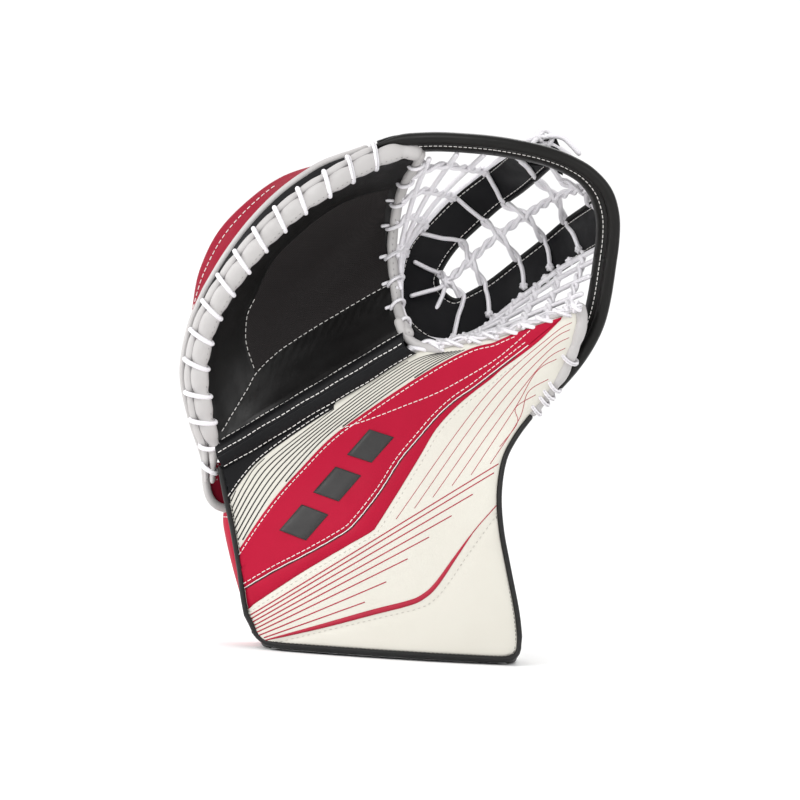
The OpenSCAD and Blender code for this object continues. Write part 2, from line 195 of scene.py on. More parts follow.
def along_normal(grid, amount):
    """A grid moved along its normals; amount is a number or a function of u and v."""
    nv, nu = len(grid) - 1, len(grid[0]) - 1
    ns = normals_of(grid)
    how = amount if callable(amount) else (lambda u, v: amount)
    return [[p + ns[j][i] * how(i / nu, j / nv) for i, p in enumerate(row)] for j, row in enumerate(grid)]


def distances(points, lines):
    """The distance from each point to the nearest of some polylines, by numpy."""
    pts = np.array([tuple(p) for p in points])
    best = np.full(len(pts), 1e9)
    for line in lines:
        for a, b in zip(line, line[1:]):
            a, b = np.array(tuple(a)), np.array(tuple(b))
            ab = b - a
            t = np.clip(((pts - a) @ ab) / max(ab @ ab, 1e-9), 0, 1)
            best = np.minimum(best, np.linalg.norm(pts - a - t[:, None] * ab, axis=1))
    return best


def grid_distances(grid, lines):
    return distances([p for row in grid for p in row], lines).reshape(len(grid), len(grid[0]))


# Edges of the cuff and thumb panel
CUFF_BOTTOM = [
    (-93.5, 15, 10), (-80, 9, 5.4), (-55, 4, 5.4), (-28, 1, 5.4), (0, 0, 5.4), (30, 1, 5.4), (58, 5, 5.4),
    (82, 11, 5.4), (94, 15, 9)
]
CUFF_LEFT = [
    (-93.5, 15, 10), (-100, 18, 33), (-105, 20, 57), (-112, 22, 85), (-118, 24, 106), (-123, 24, 125)
]
CUFF_TOP = [
    (-123, 24, 125), (-91, 24, 146), (-57, 24, 170), (-23, 24, 193), (9, 25, 216), (25, 26, 219),
    (44, 24, 224), (67, 19, 230), (87, 11, 238), (108, 2, 247), (119, -1, 250)
]
CUFF_RIGHT = [
    (94, 15, 9), (90, 17, 35), (82, 19, 66), (75, 20, 94), (72, 22, 119), (74, 26, 143), (81, 30, 160),
    (92, 31, 177), (105, 26, 194), (114, 16, 214), (119, 4, 236), (119, -1, 250)
]

# Edges of the palm
PALM_BREAK = [(-128, 24, 141), (-85, 24, 170.5), (-42, 24, 200), (0, 24, 229)]
PALM_POCKET = [
    (0, 24, 229), (-7, 38, 241), (-10, 48, 253), (-14, 56, 274), (-16, 58, 292), (-15, 55, 310),
    (-13, 46, 324), (-9, 33, 337), (-3, 20, 347), (0, 10, 354)
]
PALM_LEFT = [
    (-128, 24, 141), (-133, 16, 155), (-137, 10, 172), (-140, 5, 190), (-139, 0, 207), (-135, -4, 225),
    (-127, -7, 244)
]
PALM_TOP = [
    (-127, -7, 244), (-114, -9, 266), (-97, -10, 289), (-77, -9, 310), (-54, -6, 328), (-34, -1, 342),
    (-15, 5, 352), (0, 10, 354)
]
PALM_DISH = 36

# Edges of the pad over the backs of the fingers
PAD_LOW = [(-134, 60, 104), (-128, 74, 152), (-98, 94, 208), (-62, 101, 242), (-26, 96, 266)]
PAD_POCKET = [(-26, 96, 266), (-28, 98, 284), (-30, 92, 306), (-28, 76, 328), (-24, 52, 345), (-17, 34, 357)]
PAD_LEFT = [(-134, 60, 104), (-143.5, 53, 142), (-147.5, 47, 172), (-150.5, 43, 206), (-152.5, 40, 238)]
PAD_TOP = [
    (-152.5, 40, 238), (-149.5, 40, 263), (-138, 40, 292), (-117.5, 40, 316.5), (-94, 40, 335),
    (-65, 38, 346), (-40, 36, 352), (-17, 34, 357)
]
PAD_DISH = 24

# Edges of the U-shaped spine
TEE_IN = [
    (99, 20, 357), (80, 75, 340), (63, 95, 327), (47, 105, 311), (35, 106, 298), (26, 102, 284),
    (21, 95, 270), (26, 88, 261), (35, 86, 256), (44, 90, 261), (60, 98, 272), (78, 102, 288), (96, 98, 304),
    (113, 80, 320), (134, 24, 335)
]
TEE_OUT = [
    (68, 18, 364), (50, 75, 350), (30, 92, 333), (13, 96, 314), (-1, 93, 296), (-6, 86, 279), (-7, 74, 260),
    (-2, 62, 241), (14, 55, 227), (33, 60, 224), (56, 76, 234), (74, 88, 251), (93, 90, 268), (113, 78, 285),
    (140, 26, 303)
]

# Centre line of the rim, from the fingers over the top and down to the thumb
RIM = [
    (-27, 20, 358), (-16, 17, 362), (-3, 15, 364), (15, 12, 365.5), (36, 9, 365.5), (56, 7, 364.6),
    (75, 6, 362.5), (92, 6, 359.5), (108, 8, 354.5), (122, 11, 347.5), (134, 15, 336), (140, 18, 321),
    (141.5, 21, 305), (140.5, 22.5, 286), (138.5, 24, 262), (135, 27, 243), (128, 31, 226), (119, 37, 211),
    (109, 43, 198)
]
THUMB_EDGE = [
    (121, 2, 253), (123, 3, 243), (119, 12, 226), (113, 22, 208), (104, 30, 194), (94, 35, 180)
]

cuff = Patch(CUFF_BOTTOM, CUFF_TOP, CUFF_LEFT, CUFF_RIGHT)
palm = Patch(PALM_BREAK, PALM_TOP, PALM_LEFT, PALM_POCKET, PALM_DISH)
pad = Patch(PAD_LOW, PAD_TOP, PAD_LEFT, PAD_POCKET, PAD_DISH)
HEEL = [(-129, 34, 116), (-129, 30, 123), (-128.5, 27, 132)]
perimeter = [Vector(p) for p in HEEL] + curve(PALM_LEFT, 60) + curve(PALM_TOP, 100)[1:]

# The fold axis, along the break from the heel
FOLD_FROM = Vector((-126, 24, 133))
ALONG = (Vector((141, 24, 316.5)) - FOLD_FROM).normalized()
UP = Vector((-ALONG.z, 0, ALONG.x))

# Thicknesses of the layers behind the leather's face
LEATHER_T = 2.2
CUFF_BACK = 15.8
PALM_BACK = 10.8

# ---------------------------------------------------------------- materials


class Nodes:
    """A material's nodes, built by name."""

    def __init__(self, name, colour, roughness, specular=0.5, sheen=0.0, metallic=0.0, coat=0.0):
        self.material = bpy.data.materials.new(name)
        self.material.use_nodes = True
        self.tree = self.material.node_tree
        self.shader = self.tree.nodes["Principled BSDF"]
        self.set("Base Color", (*colour, 1))
        self.set("Roughness", roughness)
        self.set("Specular IOR Level", specular)
        self.set("Sheen Weight", sheen)
        self.set("Metallic", metallic)
        self.set("Coat Weight", coat)
        self.set("Coat Roughness", 0.3)
        self.colour = colour
        self.where = self.add("ShaderNodeTexCoord").outputs["Object"]

    def set(self, socket, value):
        self.shader.inputs[socket].default_value = value

    def add(self, kind, **settings):
        node = self.tree.nodes.new(kind)
        for key, value in settings.items():
            if key in node.inputs:
                node.inputs[key].default_value = value
            else:
                setattr(node, key, value)
        return node

    def link(self, a, b):
        self.tree.links.new(a, b)

    def noise(self, scale, detail=3.0, rough=0.55):
        node = self.add("ShaderNodeTexNoise", Scale=scale, Detail=detail, Roughness=rough)
        self.link(self.where, node.inputs["Vector"])
        return node.outputs["Fac"]

    def cells(self, scale, feature="F1"):
        node = self.add("ShaderNodeTexVoronoi", feature=feature, Scale=scale)
        self.link(self.where, node.inputs["Vector"])
        return node.outputs["Distance"]

    def math(self, operation, a, b=0.0, clamp=False):
        node = self.add("ShaderNodeMath", operation=operation, use_clamp=clamp)
        for socket, value in zip(node.inputs, (a, b)):
            if isinstance(value, (int, float)):
                socket.default_value = value
            else:
                self.link(value, socket)
        return node.outputs[0]

    def spread(self, value, low, high, to_low=0.0, to_high=1.0):
        node = self.add("ShaderNodeMapRange")
        self.link(value, node.inputs["Value"])
        for socket, number in zip(list(node.inputs)[1:5], (low, high, to_low, to_high)):
            socket.default_value = number
        return node.outputs["Result"]

    def mottle(self, value, darker, amount=1.0):
        """Mixes the colour towards a darker one where value is high."""
        mix = self.add("ShaderNodeMix", data_type="RGBA")
        mix.inputs[6].default_value = (*self.colour, 1)
        mix.inputs[7].default_value = (*darker, 1)
        self.link(self.math("MULTIPLY", value, amount, clamp=True), mix.inputs[0])
        self.link(mix.outputs[2], self.shader.inputs["Base Color"])

    def rough(self, value, low, high):
        self.link(self.spread(value, 0.3, 0.7, low, high), self.shader.inputs["Roughness"])

    def bump(self, height, depth, strength=1.0):
        node = self.add("ShaderNodeBump", Distance=depth, Strength=strength)
        self.link(height, node.inputs["Height"])
        earlier = self.shader.inputs["Normal"].links
        if earlier:
            self.link(earlier[0].from_socket, node.inputs["Normal"])
        self.link(node.outputs["Normal"], self.shader.inputs["Normal"])

    def uv(self):
        node = self.add("ShaderNodeUVMap", uv_map="run")
        parts = self.add("ShaderNodeSeparateXYZ")
        self.link(node.outputs[0], parts.inputs[0])
        return parts.outputs["X"], parts.outputs["Y"]


def leather(name, colour, darker, roughness=0.45, grain=0.00009, cell=1300, coat=0.0, mottle=0.5,
            specular=0.32):
    """Grained leather: fine cells, pores, soft mottling and uneven shine."""
    m = Nodes(name, colour, roughness, specular, coat=coat)
    broad = m.noise(28, 4)
    m.mottle(m.spread(broad, 0.42, 0.72), darker, mottle)
    m.rough(m.noise(60, 3), roughness - 0.06, roughness + 0.1)
    m.bump(m.cells(cell, "DISTANCE_TO_EDGE"), grain)
    m.bump(m.noise(420, 4), grain * 0.9)
    m.bump(m.noise(70, 3), grain * 4, 0.5)
    return m.material


def woven(name, colour, darker, count=1100, depth=0.00012, roughness=0.85, sheen=0.2):
    """A woven cloth: two crossing sets of threads, read in three directions so that it suits any slope."""
    m = Nodes(name, colour, roughness, 0.25, sheen)
    parts = m.add("ShaderNodeSeparateXYZ")
    m.link(m.where, parts.inputs[0])
    waves = []
    for axis in ("X", "Y", "Z"):
        waves.append(m.math("SINE", m.math("MULTIPLY", parts.outputs[axis], count * math.pi)))
    cross = m.math("MULTIPLY", m.math("ADD", waves[0], waves[1]), waves[2])
    fuzz = m.noise(900, 2)
    m.mottle(m.spread(m.math("ADD", cross, fuzz), -0.4, 1.6), darker, 0.7)
    m.bump(cross, depth)
    m.bump(fuzz, depth * 0.6)
    return m.material


def braided(name, colour, darker, strands=7, pitch=620, depth=0.00012, roughness=0.75):
    """A braided lace: crossing strands in the tube's own run coordinates, with fuzz, a little grime, and
    painted shade in the grooves between strands.
    """
    m = Nodes(name, colour, roughness, 0.3, 0.25)
    u, v = m.uv()
    round_it = m.math("MULTIPLY", u, strands * 2 * math.pi)
    length = m.math("MULTIPLY", v, pitch * math.pi)
    one = m.math("SINE", m.math("ADD", round_it, length))
    two = m.math("SINE", m.math("SUBTRACT", round_it, length))
    braid = m.math("MAXIMUM", one, two)
    fuzz = m.noise(1500, 2)
    # Random mottling, plus painted shade: darker where the braid's bump is low, in the grooves between
    # strands
    m.mottle(m.spread(m.math("SUBTRACT", m.noise(90, 3), m.math("MULTIPLY", braid, 0.12)), 0.38, 0.75),
             darker, 0.75)
    m.bump(braid, depth)
    m.bump(fuzz, depth * 0.5)
    return m.material


def webbing(name, colour, darker):
    """Ribbed webbing, in the strap's own run coordinates."""
    m = Nodes(name, colour, 0.8, 0.3, 0.3)
    u, v = m.uv()
    ribs = m.math("SINE", m.math("MULTIPLY", v, 2 * math.pi * 620))
    threads = m.math("SINE", m.math("MULTIPLY", u, 2 * math.pi * 900))
    weave = m.math("MULTIPLY", ribs, threads)
    m.mottle(m.spread(m.math("ADD", weave, m.noise(500, 2)), 0.0, 1.6), darker, 0.8)
    m.bump(weave, 0.00025)
    m.bump(m.noise(1800, 2), 0.00008)
    return m.material


def pile(name, colour, darker, scale, depth):
    """Hook or loop pile: fine dots that stand up."""
    m = Nodes(name, colour, 0.95, 0.1, 0.5)
    dots = m.cells(scale)
    m.mottle(m.spread(dots, 0.1, 0.7), darker, 0.9)
    m.bump(dots, depth)
    m.bump(m.noise(2400, 2), depth * 0.5)
    return m.material


def foam(name, colour, darker):
    m = Nodes(name, colour, 0.9, 0.2)
    m.mottle(m.spread(m.cells(900), 0.1, 0.6), darker, 0.6)
    m.bump(m.cells(700), 0.0002)
    return m.material


def plain_plastic(name, colour, darker):
    m = Nodes(name, colour, 0.5, 0.5)
    m.mottle(m.spread(m.noise(35, 3), 0.4, 0.7), darker, 0.4)
    m.rough(m.noise(120, 3), 0.42, 0.58)
    m.bump(m.noise(900, 3), 0.00004)
    return m.material


def steel(name):
    m = Nodes(name, (0.72, 0.72, 0.74), 0.22, 0.5, metallic=1.0)
    m.rough(m.noise(220, 4), 0.14, 0.34)
    m.bump(m.noise(1600, 3), 0.00002)
    return m.material


def thread(name, colour, darker):
    m = Nodes(name, colour, 0.6, 0.4, 0.2)
    m.mottle(m.spread(m.noise(260, 3), 0.4, 0.75), darker, 0.7)
    m.bump(m.noise(2500, 2), 0.00006)
    return m.material


BLACK_HIDE = leather("black_hide", (0.007, 0.007, 0.008), (0.004, 0.004, 0.005), 0.45, 0.00008, 1500,
                     specular=0.14)
PALM_HIDE = leather("palm_hide", (0.009, 0.0085, 0.0085), (0.005, 0.005, 0.005), 0.4, 0.00007, 1700)
RIM_HIDE = leather("rim_hide", (0.007, 0.0066, 0.006), (0.004, 0.0037, 0.0035), 0.36, 0.00005, 2000,
                   coat=0.02, specular=0.2)
BINDING_BLACK = leather("binding_black", (0.010, 0.010, 0.010), (0.005, 0.005, 0.005), 0.5, 0.00006, 1900)
CREAM = leather("cream_hide", (0.645, 0.625, 0.56), (0.60, 0.575, 0.51), 0.42, 0.00006, 1500, mottle=0.35)
RED = leather("red_hide", (0.40, 0.004, 0.030), (0.34, 0.003, 0.023), 0.5, 0.00006, 1500, specular=0.14)
# Painted shade: a darker, rougher copy of the red hide, used on the finger pad's side panel and heel web
RED_SHADED = leather("red_hide_painted_shade", (0.25, 0.003, 0.020), (0.21, 0.003, 0.016), 0.62, 0.00005, 1500,
                   specular=0.12)
RED_PRINT = leather("red_print", (0.38, 0.010, 0.035), (0.32, 0.008, 0.03), 0.45, 0.00005, 1500)
# Black print, also used for a painted shadow line under the leaf's white edge line
BLACK_PRINT_AND_SHADOW = leather("black_print_and_shadow", (0.02, 0.02, 0.02), (0.012, 0.012, 0.012), 0.45, 0.00004, 1500)
WHITE_HIDE = leather("white_hide", (0.48, 0.465, 0.46), (0.40, 0.387, 0.38), 0.45, 0.00014, 1000, mottle=0.7)
EMBLEM = plain_plastic("emblem_rubber", (0.020, 0.019, 0.019), (0.014, 0.0135, 0.013))
PALM_CLOTH = woven("palm_cloth", (0.019, 0.016, 0.016), (0.010, 0.009, 0.009), 1250, 0.00008, 0.78, 0.0)
LINING = woven("lining_knit", (0.03, 0.03, 0.034), (0.015, 0.015, 0.018), 700, 0.0002)
LACE = braided("lace_braid", (0.87, 0.85, 0.88), (0.76, 0.74, 0.78))
THREAD = thread("white_thread", (0.85, 0.83, 0.80), (0.62, 0.60, 0.57))
CREAM_THREAD = thread("cream_thread", (0.52, 0.50, 0.45), (0.42, 0.40, 0.36))
BLACK_THREAD = thread("black_thread", (0.02, 0.02, 0.02), (0.012, 0.012, 0.012))
GREY_THREAD = thread("grey_thread", (0.25, 0.24, 0.24), (0.16, 0.16, 0.16))
WEB = webbing("black_webbing", (0.018, 0.018, 0.02), (0.006, 0.006, 0.007))
LOOP_PILE = pile("loop_pile", (0.03, 0.03, 0.033), (0.012, 0.012, 0.013), 1400, 0.0003)
HOOK_PILE = pile("hook_pile", (0.022, 0.022, 0.024), (0.008, 0.008, 0.009), 800, 0.0004)
FOAM = foam("grey_foam", (0.22, 0.22, 0.24), (0.13, 0.13, 0.14))
BOARD = plain_plastic("board_plastic", (0.42, 0.42, 0.44), (0.34, 0.34, 0.36))
STEEL = steel("ring_steel")

# ---------------------------------------------------------------- mesh makers

CAP_RINGS = (0.25, 0.6, 0.87)  # a round end's rings, as shares of the tube's radius
STITCH_STEP = 0.5


def make(name, part, material, body=None, slot=None, replaces=()):
    """A mesh object that rides on body. part: its points in mm, its faces and perhaps its run coordinates."""
    points, faces = part[:2]
    data = bpy.data.meshes.new(name)
    data.from_pydata([tuple(p * MM) for p in points], [], faces)
    if len(part) == 3:
        run = data.uv_layers.new(name="run")
        for loop in data.loops:
            run.data[loop.index].uv = part[2][loop.vertex_index]
    bm = bmesh.new()
    bm.from_mesh(data)
    bmesh.ops.recalc_face_normals(bm, faces=bm.faces)
    bm.to_mesh(data)
    bm.free()
    for polygon in data.polygons:
        polygon.use_smooth = True
    data.materials.append(material)
    obj = bpy.data.objects.new(name, data)
    bpy.context.scene.collection.objects.link(obj)
    if body:
        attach(obj, body)
    if replaces:
        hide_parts(*replaces)
    return obj


def tree_of(piece):
    return BVHTree.FromObject(piece, bpy.context.evaluated_depsgraph_get())


def blend(piece, a, b, start, end):
    """Bakes a piece's transform into its mesh. It bends nothing: the bodies a and b and the places start and
    end are not used.
    """
    tuple(c * MM for c in start)
    tuple(c * MM for c in end)
    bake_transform(piece)


class Bundle:
    """Small parts that become one mesh. A part: its points, its faces and perhaps its run coordinates."""

    def __init__(self, *parts):
        self.points, self.faces, self.uvs = [], [], []
        for part in parts:
            self.add(part)

    def add(self, part):
        points, faces, uvs = part if len(part) == 3 else (*part, [(0.0, 0.0)] * len(part[0]))
        start = len(self.points)
        self.points += points
        self.faces += [[k + start for k in face] for face in faces]
        self.uvs += uvs

    def parts(self):
        return self.points, self.faces, self.uvs

    def make(self, name, material, body=None, slot=None, replaces=()):
        return make(name, self.parts(), material, body, slot, replaces)


def grid_faces(grid):
    wide = len(grid[0])
    starts = [a for j in range(len(grid) - 1) for a in range(j * wide, j * wide + wide - 1)]
    return [[a, a + 1, a + 1 + wide, a + wide] for a in starts]


def ring_faces(count, sides, closed=False):
    """Faces that join rings of points into a tube, with its ends shut unless it closes on itself."""
    faces = []
    for i in range(count if closed else count - 1):
        here, there = i * sides, (i + 1) % count * sides
        faces += [[here + j, here + (j + 1) % sides, there + (j + 1) % sides, there + j]
                  for j in range(sides)]
    if not closed:
        faces += [list(range(sides))[::-1], [(count - 1) * sides + j for j in range(sides)]]
    return faces


def slab_parts(front, back):
    """The closed solid between two grids."""
    across, up = len(front[0]), len(front)
    half = across * up
    faces = []
    for quad in grid_faces(front):
        faces += [quad, [k + half for k in reversed(quad)]]
    ring = list(range(across - 1)) + [j * across + across - 1 for j in range(up - 1)]
    ring += [half - across + i for i in range(across - 1, 0, -1)]
    ring += [j * across for j in range(up - 1, 0, -1)]
    for a, b in zip(ring, ring[1:] + ring[:1]):
        faces.append([b, a, a + half, b + half])
    return [p for row in front + back for p in row], faces


def sheet_parts(grid, thick):
    """An even slab behind a grid."""
    return slab_parts(grid, behind(grid, thick))


def frames_along(path, closed=False):
    """Side and depth vectors carried along a path without twisting."""
    out = []
    t = direction(path, 0)
    b = BACK - t * t.y
    if b.length < 0.2:
        b = Vector((0, 0, 1)) - t * t.z
    b.normalize()
    for i in range(len(path)):
        t = direction(path, i)
        if closed:
            t = (path[(i + 1) % len(path)] - path[i - 1]).normalized()
        b = (b - t * b.dot(t)).normalized()
        out.append((t.cross(b).normalized(), b.copy()))
    return out


def tube_parts(path, radius, sides=12, deep=None, closed=False):
    """A tube with round ends. radius and deep are numbers, or functions of s from 0 to 1."""
    size = radius if callable(radius) else (lambda s: radius)
    depth = deep if callable(deep) else (lambda s: size(s) if deep is None else deep)
    frames = frames_along(path, closed)
    last = len(path) - 1
    rows = [(i, 1.0, 0.0) for i in range(len(path))]
    if not closed:
        caps = [(k, math.sqrt(1 - k * k)) for k in CAP_RINGS]
        rows = [(0, k, -push) for k, push in caps] + rows + [(last, k, push) for k, push in reversed(caps)]
    points, uvs, run, before = [], [], 0.0, None
    for i, k, push in rows:
        r, d = size(i / last), depth(i / last)
        centre = path[i] + direction(path, i) * (push * min(r, d))
        if before is not None:
            run += (centre - before).length
        before = centre
        n, b = frames[i]
        for j in range(sides):
            angle = 2 * math.pi * j / sides
            points.append(centre + n * (r * k * math.cos(angle)) + b * (d * k * math.sin(angle)))
            uvs.append((j / sides, run * MM))
    return points, ring_faces(len(rows), sides, closed), uvs


def tube(name, path, radius, material, body=None, slot=None, replaces=(), sides=14, deep=None):
    return make(name, tube_parts(path, radius, sides, deep), material, body, slot, replaces)


def twisted_parts(path, strand, spread, pitch, phase=0.0):
    """Two laces twisted round each other along a path."""
    path = evenly(path, 1.6)
    frames = frames_along(path)
    out = Bundle()
    for side in (0, math.pi):
        run, line = 0.0, []
        for i, p in enumerate(path):
            if i:
                run += (p - path[i - 1]).length
            angle = 2 * math.pi * run / pitch + side + phase
            n, b = frames[i]
            line.append(p + n * (spread * math.cos(angle)) + b * (spread * math.sin(angle)))
        out.add(tube_parts(line, strand, 8))
    return out.parts()


def loop_parts(centre, way, across, wide, deep, strand, sides=9, turns=30, slant=0.0):
    """A lace loop round an edge: an oval ring whose plane is square to way, leaning by slant along it."""
    way = way.normalized()
    side = across.normalized()
    depth = way.cross(side).normalized()
    line = []
    for k in range(turns):
        a = 2 * math.pi * k / turns
        line.append(centre + side * (wide * math.cos(a)) + depth * (deep * math.sin(a))
                    + way * (slant * math.cos(a)))
    return tube_parts(line, strand, sides, closed=True)


def loop_round(path, i, wide, deep, strand, slant, sides, turns):
    """A lace loop round the edge that path runs along, at its point i."""
    t = direction(path, i)
    return loop_parts(path[i], t, sideways(t), wide, deep, strand, sides, turns, slant)


class Skin:
    """A surface that flat work is laid on, found by x and z from the catching side."""

    def __init__(self, grid):
        self.tree = BVHTree.FromPolygons([p for row in grid for p in row], grid_faces(grid))

    def ray(self, x, z):
        return self.tree.ray_cast(Vector((x, -200, z)), BACK)

    def covers(self, x, z):
        return self.ray(x, z)[0] is not None

    def face(self, x, z):
        """The point and the outward normal at x, z, or at the nearest place on the surface."""
        hit, normal, _, _ = self.ray(x, z)
        if hit is None:
            hit, normal, _, _ = self.tree.find_nearest(Vector((x, 15, z)))
        return hit, -normal if normal.y > 0 else normal

    def drop(self, x, z, lift=0.0):
        hit, normal = self.face(x, z)
        return hit + normal * lift


def stitch_parts(path, dash=2.3, gap=1.3, radius=0.34, squash=0.7):
    """Stitches along a path that already lies on its surface."""
    path = evenly(path, STITCH_STEP)
    out = Bundle()
    step = round(dash / STITCH_STEP)
    pause = round((dash + gap) / STITCH_STEP)
    for i in range(0, len(path) - step, pause):
        out.add(tube_parts(path[i:i + step + 1:max(1, step // 3)], radius, 6, radius * squash))
    return out.parts()


def sew(name, lines, dash, gap, radius, body="cuff", material=THREAD, slot="white_lace"):
    """Rows of stitches as one piece."""
    rows = Bundle(*(stitch_parts(line, dash, gap, radius) for line in lines))
    return rows.make(name, material, body, slot)


def lay(skin, points, lift, step=1.5):
    """A curve drawn through (x, z) points and laid on a skin."""
    flat = evenly(curve(flat3(points), 60), step)
    return [skin.drop(p.x, p.z, lift) for p in flat if skin.covers(p.x, p.z)]


def panel_parts(skin, upper, lower, lift, thick, across=10, samples=70):
    """A thin leather panel between two (x, z) edge curves, laid on a skin, with a rounded cut edge."""
    a, b = curve(flat3(upper), samples), curve(flat3(lower), samples)
    front, back = [], []
    for j in range(across + 1):
        row = [skin.face(p.x, p.z) for p in (q + (r - q) * (j / across) for q, r in zip(b, a))]
        edge = thick * 0.6 if j in (0, across) else 0.0
        front.append([hit + normal * (lift + thick - edge) for hit, normal in row])
        back.append([hit + normal * (lift - 0.5) for hit, normal in row])
    return slab_parts(front, back)


def ribbon_parts(skin, points, width, lift, taper=0.0):
    """A printed line: a strip of given width, a number or a function of s, laid on a skin."""
    size = width if callable(width) else (lambda s: width * (1 - taper * s))
    line = [p for p in evenly(curve(flat3(points), 50), 2.5) if skin.covers(p.x, p.z)]
    left, middle, right = [], [], []
    for i, p in enumerate(line):
        t = direction(line, i)
        side = Vector((-t.z, 0, t.x)) * (size(i / (len(line) - 1)) / 2)
        left.append(skin.drop(p.x + side.x, p.z + side.z, lift))
        middle.append(skin.drop(p.x, p.z, lift + 0.05))
        right.append(skin.drop(p.x - side.x, p.z - side.z, lift))
    return sheet_parts([right, middle, left], 0.3)


def layer(name, patch, start, thick, material, body, slot, replaces, steps, inset=0.0):
    """A flat layer of a padded panel, at start behind its face."""
    grid = patch.grid(steps, steps, inset, 1 - inset, inset, 1 - inset)
    part = slab_parts(behind(grid, start), behind(grid, start + thick))
    return make(name, part, material, body, slot, replaces)


# ---------------------------------------------------------------- cuff and thumb

# Panels and lines of the cuff, as (x, z) points seen from the catching side
LEAF_TOP = [
    (-110, 63), (-99, 83), (-84, 107), (-66, 130), (-47, 152), (-22, 173), (4, 193), (27, 209), (48, 221),
    (62, 225.5), (69, 229), (78, 233.5), (92, 239.5), (109, 246.5)
]
LEAF_LOW = [
    (-103, 40.5), (-82, 55), (-57, 70), (-33, 86), (-26, 93.5), (-18, 104.5), (-9, 118.5), (2, 138.5),
    (14, 155), (26, 171), (38, 183.5), (50, 193), (62, 203.5), (70.5, 211), (78.5, 218), (87, 225.5),
    (97, 235), (108.5, 245.7)
]
BAND_LOW = [
    (-99, 27), (-65, 53), (-33, 75), (-15, 87), (-11, 92), (-1, 110), (15, 140), (26, 161.5), (38, 177),
    (50, 189), (62.5, 200), (70.5, 208), (83, 218.5), (95, 229.5), (108.5, 244.8)
]
LEAF_SEAM = [(-42, 158), (-22, 166), (4, 178), (27, 189), (52, 205), (66, 215), (78, 226), (88, 236)]
CORNER_LOW = [(-121.5, 95), (-108, 118), (-97, 132), (-80, 147), (-62, 161), (-47, 172)]
CORNER_TOP = [(-125, 129), (-110, 137), (-96, 146), (-80, 156), (-62, 167), (-47, 177)]
LINES_TOP = [(-117, 102), (-109, 117), (-97, 131.5), (-62, 160), (-30, 186), (4, 210), (24, 216)]
STRIPE = [(-84, 6.5), (-46, 19), (-11, 31), (14, 39), (24, 44), (33, 53), (46, 74), (58, 93), (72, 111)]
STRIPE_SEAM = [(-78, 5), (-40, 17), (-4, 28), (22, 36), (33, 43), (42, 55), (54, 75), (66, 94), (74, 106)]
FAN_FROM = [(-99, 21), (-90, 6)]
FAN_TO = [(74, 142), (69, 134), (55, 118), (41, 102), (26, 86), (12, 70), (-2, 53), (-16, 38)]
THUMB_FROM = [(2, 97), (14.5, 105.5), (27, 114), (40, 123), (53, 131.5), (66, 140), (72, 152.5)]
THUMB_TO = [(116, 243), (115, 238), (115, 232.5), (113, 225), (107.5, 217), (103, 202.5), (95, 191)]
LINE_STEP = 0.124
PRINT_LIFT = 0.12
CUFF_SWELL = 1.6
QUILT = 9.0
HEM_R = 2.6
HEM_END = [(87, 22), (91, 32), (92, 46), (92, 60), (88, 70), (79, 78)]


def build_cuff():
    """The cuff's hide with its seams, and its board, foam, quilted lining and black side."""
    face = shifted(cuff.grid(96, 96), lambda p, u, v: BACK * (-CUFF_SWELL * min(1.0, hump(u, v) * 3) ** 0.5))
    seams = [lay(Skin(face), c, 0, 3) for c in (LEAF_LOW, BAND_LOW, STRIPE_SEAM)]
    near = grid_distances(face, seams)
    face = [[p + BACK * (0.7 * bell(d, 2.2)) for p, d in zip(row, gaps)] for row, gaps in zip(face, near)]
    make("cuff_cover_hide", slab_parts(face, behind(cuff.grid(96, 96), LEATHER_T)), CREAM, "cuff",
         "cream_leather", ["cuff_cover"])
    layer("cuff_board_sheet", cuff, 2.4, 2.0, BOARD, "cuff", "board", ["cuff_board"], 40, 0.01)
    layer("cuff_foam_pad", cuff, 4.6, 10.8, FOAM, "cuff", "foam", ["cuff_foam"], 40, 0.012)
    lining = cuff.grid(60, 60)
    quilt = [[p + BACK * (CUFF_BACK + 0.1 + abs(math.sin(p.x / QUILT) * math.sin(p.z / QUILT)) ** 0.5)
              for p in row] for row in lining]
    make("cuff_lining", slab_parts(behind(lining, CUFF_BACK - 0.3), quilt), LINING, "cuff", "lining",
         ["cuff_liner"])
    build_cuff_side()
    return Skin(face)


def build_cuff_side():
    """The black side of the padded cuff, round its left, top and right edges."""
    path = curve(CUFF_LEFT, 30) + curve(CUFF_TOP, 60)[1:] + curve(CUFF_RIGHT, 60)[-2::-1]
    path = evenly(path, 3)
    rows = []
    for k in range(7):
        t = k / 6
        rows.append(outset(path, 0.2 + 0.9 * math.sin(math.pi * t), 0.4 + (CUFF_BACK - 0.8) * t))
    middle = Vector((0, 18, 130))
    inner = [[p + (middle - p).normalized() * 1.2 for p in row] for row in rows]
    make("cuff_edge_wall", slab_parts(rows, inner), BLACK_HIDE, "cuff", "black_leather")


